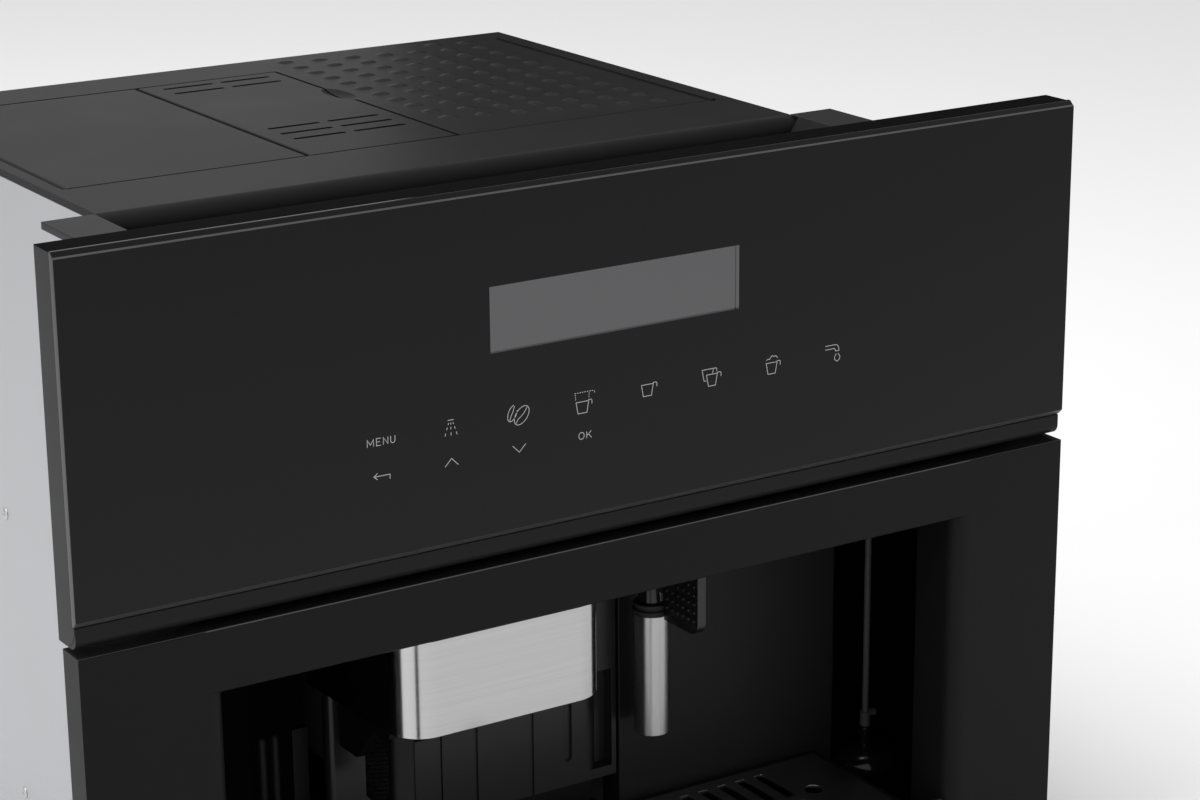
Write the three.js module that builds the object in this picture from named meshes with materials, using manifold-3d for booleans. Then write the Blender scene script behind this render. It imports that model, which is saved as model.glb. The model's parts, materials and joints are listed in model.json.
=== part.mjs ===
// A built-in coffee machine for a 600 mm wide, 450 mm high kitchen niche. Millimetres, +Z up.
// X runs to the right seen from the front and Y runs to the back. The front of the glass is the plane
// that every depth is measured from, and the origin is under the middle of the bounding box.
import * as THREE from "three";
import { mergeVertices } from "three/addons/utils/BufferGeometryUtils.js";
import Module from "manifold-3d";

const wasm = await Module();
wasm.setup();

// ---------------------------------------------------------------- driving dimensions

const SEAT = 0.3; // gap between two pieces that touch
const RUN = 0.6; // gap between two pieces that slide or turn past each other
const SHEET = 1.5; // folded steel sheet
const WALL = 2; // moulded plastic wall

const FRONT = { width: 595, height: 455 };
const DEPTH = 475; // glass face to the back of the mains inlet

const GLASS = { height: 179, thickness: 5, bevel: 3 };
const FASCIA = { depth: 23, lip: 12, lipSetback: 3, side: 5 };
const POCKET = { depth: 13, margin: 22, foot: 3 };
const DISPLAY = { width: 150, height: 34, drop: 65.6, bezel: 5, depth: 8 };
const TOUCH = { width: 292, height: 44, drop: 126, board: 1.6, pad: 11, padHeight: 2, pitch: 38.7, keys: 8 };
const STOP = { width: 8, thickness: 1, margin: 1, inset: 20 }; // pads that meet the cupboard's edges

const FRAME = { rail: 32.6, shadow: 2.4, wall: 3, side: 18, reveal: 34, edge: 9, foot: 4, bevel: 0.8 };
const OPENING = { halfWidth: 223 };
const NICHE = { depth: 108, halfWidth: 221, ceilingDrop: 3.7, ceilingWall: 3, pocketRear: 140, rib: 18 };
const BOSS = { half: 6, pitch: 120, count: 4, inset: 4 };

const CHASSIS = { halfWidth: 214, drop: 22.6, floor: 32, rear: 473, shelf: 288, rib: 8, lip: 14 };
const BAY = { coverDrop: 22 };
const REAR_VENT = { start: 20, pitch: 14, width: 5, columns: 12, rows: 2 };
const REAR_ROWS = { drop: 182.4, height: 50, bridge: 20 };
const LOUVRE = { count: 8, pitch: 14, width: 4, drop: 82.4, height: 50, inset: 150 };
const DECK = { front: 140, edge: 9, wall: 4, seam: 0.8 };
const BEAD = { x: 201, width: 4, height: 1.2, front: 205, past: 20 };
const BRACKET = { reach: 29, rear: 148, height: 30 };

const LIDS = { front: 208, rear: 432, left: -205, split: -64, right: 29, gap: 1.6, wall: 4 };
const VENT = { width: 3.6, length: 33, pitch: 16, columnPitch: 38, first: 250, columns: 2, rows: 3 };
const VENTS = { start: -51, groups: 2, pitch: 155 };
const NOTCH = { from: 325, to: 372, depth: 7, reach: 8 };

const DOOR = { left: -115.5, right: 67.4, bottom: 74, wall: 3, depth: 14, reveal: 2, headroom: 2.5 };
const HINGE = { inset: 4, pin: 5, pinLength: 9, ear: 10, plate: 4 };
const CHANNEL = { left: -161, depth: 24 }; // left of the door
const RIB = { radius: 3.2, height: 103.2, x: [-144.6, -136.8] };
const STEP = { width: 9.5, depth: 2.5, height: 106.2 };
const TRACK = { inner: 17.4, outer: 39.5, far: 75.6, thin: 1, wide: 2, cut: 1.2 };
const FLUTE = { x: 35, width: 5.4, bottom: 89, cut: 1.8 };
const GRIP = { width: 18.4, slope: 11, bottom: 80, top: 139, depth: 8 };

const SPOUT = { centre: -64, width: 122, edge: 19, depth: 101.5, height: 52, headroom: 1.2 };
const COVER = { wall: 1.5, flare: 4 };
const BEAK = { width: 92, front: 46, chin: 20, chinDrop: 19, heel: 19, rootDrop: 40.5, shoulder: 40 };
const HANDLE = { reach: 41.5, width: 14.5, front: 53, rear: 89, radius: 5, drop: 63.5 };
const NOZZLE = { pitch: 40, radius: 6, wall: 1.5, bore: 3.5, length: 5, socket: 5, depth: 58 };

const WAND = { x: 80, depth: 90, arm: 7.5, drop: 161, pipe: 3.5, bore: 2 };
const SLEEVE = { radius: 10.2, length: 72, wall: 1.2, mouth: 10, bevel: 0.5 };
const COLLAR = { radius: 10.9, neck: 9.4, ring: 2.2, height: 6 };
const SOCKET = { rim: 5, height: 5.7, valve: 16 };
const TAB = { thickness: 5.4, reach: 45.5, sink: 1.5, corner: 8, rise: 7, height: 62, slant: 4, gap: 1.6 };

const TRAY = { halfWidth: 205, front: 4, rear: 104, height: 22, wall: 2, fascia: 25, fasciaWall: 2.5 };
const DRAWER = { left: -100, right: 60, rear: 262 };
const GRID = { wall: 2, margin: 4, slot: 6, pitch: 13, bridge: 8, post: 2.4 };
const FLOAT = { x: 172, depth: 60, radius: 5, height: 8, stem: 2.4, below: 1.6 };
const GROUNDS = { height: 36, wall: 2, draft: 3 };

const HOPPER = {
  rear: 404,
  depth: 78,
  straight: 30,
  wall: 2.5,
  throat: 17,
  flange: 3,
  floorWidth: 60,
  sideInset: 8,
  frontInset: 6,
};
const GRINDER = { radius: 46, bore: 33, height: 58, base: 8, hub: 12, bevel: 6 };
const BURR = { shaft: 6, skirt: 22, skirtHeight: 14, neck: 13, neckHeight: 38, tip: 4, height: 44 };
const RING = { throat: 23, low: 12, lip: 21.5, lipHeight: 26, mouth: 26, below: 2 };
const FLUTES = { count: 6, width: 4, depth: 30, length: 60, reach: 29, rise: 40, slant: 0.5 };
const MOTOR = { radius: 32, length: 62, bevel: 4, socket: 10 };
const STAND = { half: 30, plate: 3, post: 4 };
const DIAL = { radius: 15, height: 15, ledge: 23, margin: 2, stem: 3, stemLength: 10 };
const KNURL = { teeth: 12, depth: 0.9 };
const MARK = { width: 1.6, depth: 0.8, inner: 4 };
const FUNNEL = { width: 46, length: 60, front: 226, depth: 52, throat: 22, straight: 14 };

const BREW = { left: -96, right: 30, front: 140, rear: 250, bottom: 106, height: 190, cheek: 8 };
const BREW_SEAT = { shelfDrop: 60, legGap: 6, legTop: 30 };
const CYLINDER = { wall: 6, length: 60, below: 2, collar: 3, web: 10, webReach: 8 };
const PISTON = { radius: 24, rod: 9, tail: 8, rest: 26, head: 10, ring: 3, groove: 1.4, cone: 4 };
const BOILER = { x: 140, depth: 190, width: 92, length: 120, height: 52, bottom: 190, edge: 12 };
const FIN = { count: 6, pitch: 18, width: 6, reach: 4, inset: 14 };
const PORT = { radius: 5, pitch: 40, depth: 30, height: 14 };
const LEG = { width: 6, length: 30, front: 10, inset: 10 };
const PUMP = { x: 118, depth: 320, radius: 20, length: 96, lift: 22, nose: 8, noseLength: 30 };
const COIL = { front: 20, length: 46, side: 6, top: 4 };
const PUMP_FOOT = { front: 24, pitch: 30, width: 24, length: 8 };
const POWER = { x: -60, width: 250, front: 34, length: 62, board: 1.6, standoff: 4 };
const POST = { radius: 3, side: 8, end: 6 };
// left, right, front, back and height of each block on the power board, from its middle and front edge
const POWER_BLOCKS = [
  [-110, -70, 8, 48, 34],
  [12, 42, 10, 28, 20],
  [52, 82, 10, 28, 20],
  [-40, 90, 44, 56, 14],
];
const CAPACITOR = { radius: 9, height: 30, depth: 20, x: [-40, -14] };
const INLET = { x: -150, height: 84, width: 30, length: 52, body: 34, rim: 4, flange: 2, switchOffset: 44 };
const WELL = { width: 24, height: 16, depth: 20, edge: 3 };
const BLADE = { pitch: 7, width: 2, height: 6, length: 17, below: 4 };
const ROCKER = { width: 14, length: 21, slot: 14, axis: 4, root: 5, crown: 1.2, heel: 2.6, nose: 1.5 };

const TANK = { left: 223, right: 286, front: 152, rear: 420, height: 270, wall: 2.2, edge: 14, lid: 6 };
const BAIL = { reach: 26, rod: 3, span: 120, bar: 8, arm: 4, pin: 12, lift: 1 };
const EAR = { half: 6, wall: 8, rise: 2 };
const VALVE = { x: 249, depth: 112, radius: 21, height: 13, brim: 3, coupling: 3.6, couplingHeight: 12 };
const TUBE = { radius: 2, cuff: 3.2, cuffHeight: 9, catch: 7, catchHeight: 3 };

const RAIL = { x: 150, length: 400, front: 50, wall: 2, width: 24, height: 22, strap: 30 };

// ---------------------------------------------------------------- worked-out planes

const spoutFront = FRAME.wall + RUN;
const spoutRear = spoutFront + SPOUT.depth;
const displayMiddle = FRONT.height - DISPLAY.drop;
const touchRow = FRONT.height - TOUCH.drop;
const chassisTop = FRONT.height - CHASSIS.drop;
const glassBottom = FRONT.height - GLASS.height;
const lipTop = glassBottom - SEAT;
const lipBottom = lipTop - FASCIA.lip;
const frameTop = lipBottom - FRAME.shadow;
const openingTop = frameTop - FRAME.rail;
const ceilingBottom = frameTop + NICHE.ceilingDrop;
const ceilingTop = ceilingBottom + NICHE.ceilingWall;
const floorTop = CHASSIS.floor + SHEET;
const openingBottom = floorTop - SEAT;
const spoutTop = openingTop - SPOUT.headroom;
const spoutBottom = spoutTop - SPOUT.height;
const wandBottom = ceilingBottom - WAND.drop;
const deckBottom = chassisTop - DECK.wall;
const lidBottom = chassisTop - LIDS.wall;
const bayTop = chassisTop - BAY.coverDrop;
const behindFascia = FASCIA.depth + SEAT;

// ---------------------------------------------------------------- solids

function solidOf(geometry) {
  const bare = geometry.index ? geometry.toNonIndexed() : geometry.clone();
  bare.deleteAttribute("normal");
  bare.deleteAttribute("uv");
  const merged = mergeVertices(bare, 1e-4);
  return new wasm.Manifold(
    new wasm.Mesh({
      numProp: 3,
      vertProperties: merged.attributes.position.array,
      triVerts: new Uint32Array(merged.index.array),
    }),
  );
}

function geometryOf(solid) {
  const mesh = solid.getMesh();
  const geometry = new THREE.BufferGeometry();
  geometry.setAttribute("position", new THREE.BufferAttribute(new Float32Array(mesh.vertProperties), 3));
  geometry.setIndex(new THREE.BufferAttribute(new Uint32Array(mesh.triVerts), 1));
  const flat = geometry.toNonIndexed();
  flat.computeVertexNormals();
  return flat;
}

function join(first, ...others) {
  let solid = solidOf(first);
  for (const other of others) solid = solid.add(solidOf(other));
  return geometryOf(solid);
}

function cut(body, ...tools) {
  let solid = solidOf(body);
  for (const tool of tools) solid = solid.subtract(solidOf(tool));
  return geometryOf(solid);
}

function block(x0, x1, y0, y1, z0, z1) {
  const box = new THREE.BoxGeometry(x1 - x0, y1 - y0, z1 - z0);
  return box.translate((x0 + x1) / 2, (y0 + y1) / 2, (z0 + z1) / 2);
}

const AXES = {
  // local x, y and z of an extruded shape, as directions of the machine
  z: new THREE.Matrix4(),
  x: new THREE.Matrix4().makeBasis(
    new THREE.Vector3(0, 1, 0),
    new THREE.Vector3(0, 0, 1),
    new THREE.Vector3(1, 0, 0),
  ),
  y: new THREE.Matrix4().makeBasis(
    new THREE.Vector3(0, 0, 1),
    new THREE.Vector3(1, 0, 0),
    new THREE.Vector3(0, 1, 0),
  ),
};

// A shape run from one place to another along an axis. Its own two axes are (x, y) along z,
// (y, z) along x and (z, x) along y.
function run(axis, shape, from, to, curveSegments = 6) {
  const geometry = new THREE.ExtrudeGeometry(shape, {
    depth: to - from,
    bevelEnabled: false,
    curveSegments,
    steps: 1,
  });
  return geometry.translate(0, 0, from).applyMatrix4(AXES[axis]);
}

function polygon(points) {
  return new THREE.Shape(points.map(([u, v]) => new THREE.Vector2(u, v)));
}

function roundedRect(u0, u1, v0, v1, radius, Kind = THREE.Shape) {
  const shape = new Kind();
  shape.absarc(u1 - radius, v0 + radius, radius, -Math.PI / 2, 0);
  shape.absarc(u1 - radius, v1 - radius, radius, 0, Math.PI / 2);
  shape.absarc(u0 + radius, v1 - radius, radius, Math.PI / 2, Math.PI);
  shape.absarc(u0 + radius, v0 + radius, radius, Math.PI, Math.PI * 1.5);
  shape.closePath();
  return shape;
}

function rectHole(u0, u1, v0, v1) {
  const hole = new THREE.Path();
  hole.moveTo(u0, v0);
  hole.lineTo(u1, v0);
  hole.lineTo(u1, v1);
  hole.lineTo(u0, v1);
  hole.closePath();
  return hole;
}

// A solid of revolution about a vertical axis at (x, y); the profile holds [radius, height] pairs.
function turned(profile, x, y, segments = 24) {
  const points = profile.map(([radius, height]) => new THREE.Vector2(radius, height));
  const lathe = new THREE.LatheGeometry(points, segments);
  return lathe.rotateX(Math.PI / 2).translate(x, y, 0);
}

function rod(radius, z0, z1, x, y, segments = 20) {
  const cylinder = new THREE.CylinderGeometry(radius, radius, z1 - z0, segments);
  return cylinder.rotateX(Math.PI / 2).translate(x, y, (z0 + z1) / 2);
}

function pipe(outer, inner, z0, z1, x, y, segments = 24) {
  return cut(rod(outer, z0, z1, x, y, segments), rod(inner, z0 - 1, z1 + 1, x, y, segments));
}

// ---------------------------------------------------------------- materials

const finish = (color, roughness, metalness, extra = {}) =>
  new THREE.MeshStandardMaterial({ color, roughness, metalness, ...extra });

const blackGlass = () => finish(0x0b0b0c, 0.08, 0);
const satinBlack = () => finish(0x151516, 0.45, 0);
const glossBlack = () => finish(0x101011, 0.15, 0);
const mattGrey = () => finish(0x2c2c2e, 0.65, 0);
const steel = () => finish(0xb9b9b7, 0.3, 1);
const zincSheet = () => finish(0x8f9294, 0.45, 1);
const smoked = () => finish(0x33373a, 0.1, 0, { transparent: true, opacity: 0.6 });
const rubberBlack = () => finish(0x121212, 0.85, 0);
const redPlastic = () => finish(0xa51c1c, 0.4, 0);
const boardGreen = () => finish(0x1d4a30, 0.6, 0);
const lens = () => finish(0x5f6163, 0.2, 0);
const ceramicWhite = () => finish(0xe4e0d8, 0.4, 0);

// ---------------------------------------------------------------- the tree of moving groups

const machineFrame = new THREE.Group();
machineFrame.position.y = -DEPTH / 2;

function movingGroup(parent, x, y, z) {
  const group = new THREE.Group();
  const origin = parent.userData.origin ?? new THREE.Vector3();
  group.userData.origin = new THREE.Vector3(x, y, z);
  group.position.set(x - origin.x, y - origin.y, z - origin.z);
  parent.add(group);
  return group;
}

// Adds a mesh whose geometry is drawn in the machine's coordinates to a group with its own origin.
function add(group, name, geometry, material) {
  const origin = group.userData.origin ?? new THREE.Vector3();
  const mesh = new THREE.Mesh(geometry.translate(-origin.x, -origin.y, -origin.z), material);
  mesh.name = name;
  group.add(mesh);
  return mesh;
}

const body = movingGroup(machineFrame, 0, 0, 0);
const sides = [
  ["left", -1],
  ["right", 1],
];

// ---------------------------------------------------------------- runners that carry the machine

const railOuterTop = RAIL.height;
const railRear = RAIL.front + RAIL.length;

// A channel open at the top: the section of the cabinet and of the middle runner.
function channel(x, halfWidth, bottom, top, wall, from, to) {
  const section = [
    [bottom, x - halfWidth],
    [bottom, x + halfWidth],
    [top, x + halfWidth],
    [top, x + halfWidth - wall],
    [bottom + wall, x + halfWidth - wall],
    [bottom + wall, x - halfWidth + wall],
    [top, x - halfWidth + wall],
    [top, x - halfWidth],
  ];
  return run("y", polygon(section), from, to);
}

const middleHalf = RAIL.width / 2 - RAIL.wall - RUN;
const middleBottom = RAIL.wall + RUN;
const innerHalf = middleHalf - RAIL.wall - RUN;
const innerBottom = middleBottom + RAIL.wall + RUN;

const middleRunners = movingGroup(machineFrame, 0, 0, 0);
const cabinetParts = [];
for (const [side, sign] of sides) {
  const x = sign * RAIL.x;
  const outer = channel(x, RAIL.width / 2, 0, railOuterTop, RAIL.wall, RAIL.front, railRear);
  const flangeOut = x + sign * (RAIL.width / 2 + RAIL.strap / 2);
  const flange = block(
    Math.min(x, flangeOut),
    Math.max(x, flangeOut),
    RAIL.front,
    railRear,
    0,
    RAIL.wall,
  );
  cabinetParts.push(outer, flange);
  const middleTop = railOuterTop + RUN;
  const middle = channel(x, middleHalf, middleBottom, middleTop, RAIL.wall, RAIL.front, railRear);
  add(middleRunners, `runner_middle_${side}`, middle, zincSheet());
  const inner = block(
    x - innerHalf,
    x + innerHalf,
    RAIL.front,
    railRear,
    innerBottom,
    CHASSIS.floor - SEAT,
  );
  add(body, `runner_machine_${side}`, inner, zincSheet());
}
for (const from of [RAIL.front + RAIL.strap / 2, railRear - RAIL.strap * 1.5]) {
  cabinetParts.push(block(-RAIL.x, RAIL.x, from, from + RAIL.strap, 0, RAIL.wall));
}
add(machineFrame, "cabinet_frame", join(...cabinetParts), zincSheet());

// ---------------------------------------------------------------- chassis: floor, sides, back

const floorFront = FRAME.reveal + SEAT;
const floorPlate = block(
  -CHASSIS.halfWidth,
  CHASSIS.halfWidth,
  floorFront,
  CHASSIS.rear - SHEET - SEAT,
  CHASSIS.floor,
  floorTop,
);
const shelfFront = floorFront + 2 * SHEET;
const tankShelf = block(
  CHASSIS.halfWidth - 1,
  CHASSIS.shelf,
  shelfFront,
  TANK.rear + WALL,
  CHASSIS.floor,
  floorTop,
);
const shelfRib = block(
  CHASSIS.shelf - SHEET,
  CHASSIS.shelf,
  shelfFront,
  TANK.front - WALL,
  CHASSIS.floor,
  floorTop + CHASSIS.rib,
);
const floorLip = block(
  -CHASSIS.halfWidth,
  CHASSIS.halfWidth,
  floorFront,
  floorFront + SHEET,
  CHASSIS.floor - CHASSIS.lip,
  floorTop,
);
add(body, "floor_tray", join(floorPlate, tankShelf, shelfRib, floorLip), zincSheet());

const sideFoot = floorTop + SEAT;
const sideTop = deckBottom - SEAT;
const sideBehindNiche = NICHE.depth + DOOR.wall + SEAT;
const sideOutline = polygon([
  [sideBehindNiche, sideFoot],
  [CHASSIS.rear - SHEET - SEAT, sideFoot],
  [CHASSIS.rear - SHEET - SEAT, sideTop],
  [DECK.front + DECK.wall + SEAT, sideTop],
  [DECK.front + DECK.wall + SEAT, bayTop],
  [behindFascia, bayTop],
  [behindFascia, ceilingTop + SEAT],
  [sideBehindNiche, ceilingTop + SEAT],
]);
for (const [side, sign] of sides) {
  const outer = sign * CHASSIS.halfWidth;
  const inner = outer - sign * SHEET;
  const panel = run("x", sideOutline, Math.min(outer, inner), Math.max(outer, inner));
  const louvres = [];
  for (let i = 0; i < LOUVRE.count; i++) {
    const y = CHASSIS.rear - LOUVRE.inset + i * LOUVRE.pitch;
    louvres.push(
      block(
        Math.min(outer, inner) - 1,
        Math.max(outer, inner) + 1,
        y,
        y + LOUVRE.width,
        chassisTop - LOUVRE.drop,
        chassisTop - LOUVRE.drop + LOUVRE.height,
      ),
    );
  }
  add(body, `side_panel_${side}`, cut(panel, ...louvres), zincSheet());
}

const rearBlank = block(
  -CHASSIS.halfWidth,
  CHASSIS.halfWidth,
  CHASSIS.rear - SHEET,
  CHASSIS.rear,
  sideFoot,
  sideTop,
);
const inletHalf = INLET.width / 2;
const rearOpenings = [
  block(
    INLET.x - INLET.length / 2,
    INLET.x + INLET.length / 2 + INLET.switchOffset,
    CHASSIS.rear - SHEET - 1,
    CHASSIS.rear + 1,
    INLET.height - inletHalf,
    INLET.height + inletHalf,
  ),
];
for (let row = 0; row < REAR_VENT.rows; row++) {
  for (let i = 0; i < REAR_VENT.columns; i++) {
    const x = REAR_VENT.start + i * REAR_VENT.pitch;
    const z = chassisTop - REAR_ROWS.drop + row * (REAR_ROWS.height + REAR_ROWS.bridge);
    rearOpenings.push(
      block(x, x + REAR_VENT.width, CHASSIS.rear - SHEET - 1, CHASSIS.rear + 1, z, z + REAR_ROWS.height),
    );
  }
}
add(body, "rear_panel", cut(rearBlank, ...rearOpenings), zincSheet());

// ---------------------------------------------------------------- top deck and brackets

const deckPlate = new THREE.Shape();
deckPlate.moveTo(-CHASSIS.halfWidth, DECK.front + DECK.edge);
deckPlate.lineTo(CHASSIS.halfWidth, DECK.front + DECK.edge);
deckPlate.lineTo(CHASSIS.halfWidth, CHASSIS.rear);
deckPlate.lineTo(-CHASSIS.halfWidth, CHASSIS.rear);
deckPlate.closePath();
const lidWell = {
  left: LIDS.left - LIDS.gap,
  right: LIDS.right + LIDS.gap,
  front: LIDS.front - LIDS.gap,
  rear: LIDS.rear + LIDS.gap,
};
deckPlate.holes.push(rectHole(lidWell.left, lidWell.right, lidWell.front, lidWell.rear));
const deckEdge = new THREE.Shape();
const edgeCentre = [DECK.front + DECK.edge, chassisTop - DECK.edge];
deckEdge.moveTo(edgeCentre[0] + 1, chassisTop);
deckEdge.lineTo(edgeCentre[0], chassisTop);
deckEdge.absarc(edgeCentre[0], edgeCentre[1], DECK.edge, Math.PI / 2, Math.PI);
deckEdge.lineTo(DECK.front, bayTop + SEAT);
deckEdge.lineTo(DECK.front + WALL, bayTop + SEAT);
deckEdge.lineTo(DECK.front + WALL, edgeCentre[1]);
deckEdge.lineTo(DECK.front + DECK.wall, deckBottom);
deckEdge.lineTo(edgeCentre[0] + 1, deckBottom);
deckEdge.closePath();
const bead = run(
  "z",
  roundedRect(
    BEAD.x - BEAD.width / 2,
    BEAD.x + BEAD.width / 2,
    BEAD.front,
    LIDS.rear + BEAD.past,
    BEAD.width / 2 - 0.01,
  ),
  chassisTop - 1,
  chassisTop + BEAD.height,
);
// A fine seam carries the front line of the lids on to the bead.
const deckSeam = block(
  lidWell.right - 1,
  BEAD.x - BEAD.width,
  lidWell.front,
  lidWell.front + DECK.seam,
  chassisTop - DECK.seam,
  chassisTop + 1,
);

// A shallow scoop for a finger at the free edge of the middle lid.
function fingerScoop() {
  const scoop = new THREE.SphereGeometry(1, 20, 12);
  scoop.scale(NOTCH.reach, (NOTCH.to - NOTCH.from) / 2, NOTCH.depth - LIDS.gap);
  return scoop.translate(LIDS.right + LIDS.gap / 2, (NOTCH.from + NOTCH.to) / 2, chassisTop + 3);
}

const deck = join(
  run("z", deckPlate, deckBottom, chassisTop),
  run("x", deckEdge, -CHASSIS.halfWidth, CHASSIS.halfWidth, 5),
  bead,
);
add(body, "top_deck", cut(deck, fingerScoop(), deckSeam), mattGrey());

const bayCover = block(
  -CHASSIS.halfWidth + SHEET + SEAT,
  CHASSIS.halfWidth - SHEET - SEAT,
  behindFascia,
  DECK.front + WALL + DECK.wall,
  bayTop - SHEET,
  bayTop,
);
add(body, "bay_cover", bayCover, satinBlack());

for (const [side, sign] of sides) {
  const near = sign * (CHASSIS.halfWidth + SEAT);
  const far = sign * (CHASSIS.halfWidth + BRACKET.reach);
  const x0 = Math.min(near, far);
  const x1 = Math.max(near, far);
  const shelf = block(x0, x1, behindFascia, BRACKET.rear, deckBottom, chassisTop);
  const webX = near + sign * DECK.wall;
  const web = block(
    Math.min(near, webX),
    Math.max(near, webX),
    behindFascia,
    BRACKET.rear,
    chassisTop - BRACKET.height,
    chassisTop,
  );
  const tab = block(
    x0,
    x1,
    behindFascia,
    behindFascia + DECK.wall,
    chassisTop - BRACKET.height,
    chassisTop,
  );
  add(body, `corner_bracket_${side}`, join(shelf, web, tab), satinBlack());
}

// ---------------------------------------------------------------- fascia: housing, glass, electronics

const fasciaHalf = FRONT.width / 2 - SEAT;
const housingFront = GLASS.thickness + SEAT;
const housingTop = FRONT.height - SEAT;
const lipShape = new THREE.Shape();
lipShape.moveTo(housingFront, housingTop);
lipShape.lineTo(housingFront, lipTop);
lipShape.lineTo(FASCIA.lipSetback, lipTop);
lipShape.absarc(FASCIA.lipSetback + FASCIA.lip, lipTop, FASCIA.lip, Math.PI, Math.PI * 1.5);
lipShape.lineTo(FASCIA.depth, lipBottom);
lipShape.lineTo(FASCIA.depth, housingTop);
lipShape.closePath();
const pocketLow = touchRow - TOUCH.height / 2 - POCKET.foot;
const pocketHigh = displayMiddle + DISPLAY.height / 2 + POCKET.margin;
const pocket = block(
  -TOUCH.width / 2 - FASCIA.side,
  TOUCH.width / 2 + FASCIA.side,
  0,
  GLASS.thickness + POCKET.depth,
  pocketLow,
  pocketHigh,
);
const stops = sides.map(([, sign]) => {
  const outer = sign * (fasciaHalf - STOP.margin);
  const inner = outer - sign * STOP.width;
  return block(
    Math.min(inner, outer),
    Math.max(inner, outer),
    FASCIA.depth - 1,
    FASCIA.depth + STOP.thickness,
    lipBottom + STOP.inset,
    housingTop - STOP.inset,
  );
});
const housing = cut(join(run("x", lipShape, -fasciaHalf, fasciaHalf, 8), ...stops), pocket);
add(body, "fascia_housing", housing, glossBlack());

const glassShape = polygon([
  [0, glassBottom + GLASS.bevel],
  [GLASS.bevel, glassBottom],
  [GLASS.thickness, glassBottom],
  [GLASS.thickness, FRONT.height],
  [GLASS.bevel, FRONT.height],
  [0, FRONT.height - GLASS.bevel],
]);
add(body, "control_glass", run("x", glassShape, -FRONT.width / 2, FRONT.width / 2), blackGlass());

const displayHalf = DISPLAY.width / 2 + DISPLAY.bezel;
const displayTall = DISPLAY.height / 2 + DISPLAY.bezel;
const displayBox = block(
  -displayHalf,
  displayHalf,
  housingFront,
  housingFront + DISPLAY.depth,
  displayMiddle - displayTall,
  displayMiddle + displayTall,
);
const displayFace = block(
  -DISPLAY.width / 2,
  DISPLAY.width / 2,
  housingFront - 1,
  housingFront + 1,
  displayMiddle - DISPLAY.height / 2,
  displayMiddle + DISPLAY.height / 2,
);
add(body, "display_module", cut(displayBox, displayFace), lens());

const boardLow = touchRow - TOUCH.height / 2;
const board = block(
  -TOUCH.width / 2,
  TOUCH.width / 2,
  housingFront,
  housingFront + TOUCH.board,
  boardLow,
  boardLow + TOUCH.height,
);
const chips = [];
for (let i = 0; i < TOUCH.keys; i++) {
  const x = (i - (TOUCH.keys - 1) / 2) * TOUCH.pitch;
  const half = TOUCH.pad / 2;
  const y = housingFront + TOUCH.board;
  chips.push(block(x - half, x + half, y - 0.5, y + TOUCH.padHeight, touchRow - half, touchRow + half));
}
add(body, "touch_board", join(board, ...chips), boardGreen());

// ---------------------------------------------------------------- lower frame round the opening

function legSection(sign) {
  const half = FRONT.width / 2;
  const wall = FRAME.wall;
  const centre = OPENING.halfWidth + FRAME.edge;
  const points = [
    [half, 0],
    [half, FRAME.side],
    [half - wall, FRAME.side],
    [half - wall, wall],
  ];
  const steps = 6;
  for (let i = 0; i <= steps; i++) {
    const turn = ((i / steps) * Math.PI) / 2;
    const radius = FRAME.edge - wall;
    points.push([centre - radius * Math.sin(turn), FRAME.edge - radius * Math.cos(turn)]);
  }
  points.push([OPENING.halfWidth + wall, FRAME.reveal], [OPENING.halfWidth, FRAME.reveal]);
  for (let i = steps; i >= 0; i--) {
    const turn = ((i / steps) * Math.PI) / 2;
    points.push([centre - FRAME.edge * Math.sin(turn), FRAME.edge - FRAME.edge * Math.cos(turn)]);
  }
  const placed = points.map(([x, y]) => [sign * x, y]);
  return polygon(sign > 0 ? placed : placed.reverse());
}

function railSection(low, high, topFlange, bottomFlange) {
  const wall = FRAME.wall;
  const bevel = FRAME.bevel;
  return polygon([
    [0, low + bevel],
    [bevel, low],
    [bottomFlange, low],
    [bottomFlange, low + wall],
    [wall, low + wall],
    [wall, high - wall],
    [topFlange, high - wall],
    [topFlange, high],
    [bevel, high],
    [0, high - bevel],
  ]);
}

const legs = sides.map(([, sign]) => run("z", legSection(sign), FRAME.foot, frameTop));
const railHalf = FRONT.width / 2;
const shortFlange = FRAME.reveal - BOSS.inset;
const topSection = railSection(openingTop, frameTop, shortFlange, FRAME.reveal);
const sillSection = railSection(FRAME.foot, openingBottom, FRAME.reveal, shortFlange);
const topRail = run("x", topSection, -railHalf, railHalf);
const sill = run("x", sillSection, -railHalf, railHalf);
const backTrim = sides.map(([, sign]) => {
  const near = sign * (OPENING.halfWidth + FRAME.wall);
  const far = sign * (railHalf + 1);
  return block(
    Math.min(near, far),
    Math.max(near, far),
    FRAME.side,
    FRAME.reveal + 1,
    FRAME.foot - 1,
    frameTop + 1,
  );
});
const frameSolid = cut(join(...legs, topRail, sill), ...backTrim);
add(body, "lower_frame", frameSolid, satinBlack());

// ---------------------------------------------------------------- niche: ceiling and back panels

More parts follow.
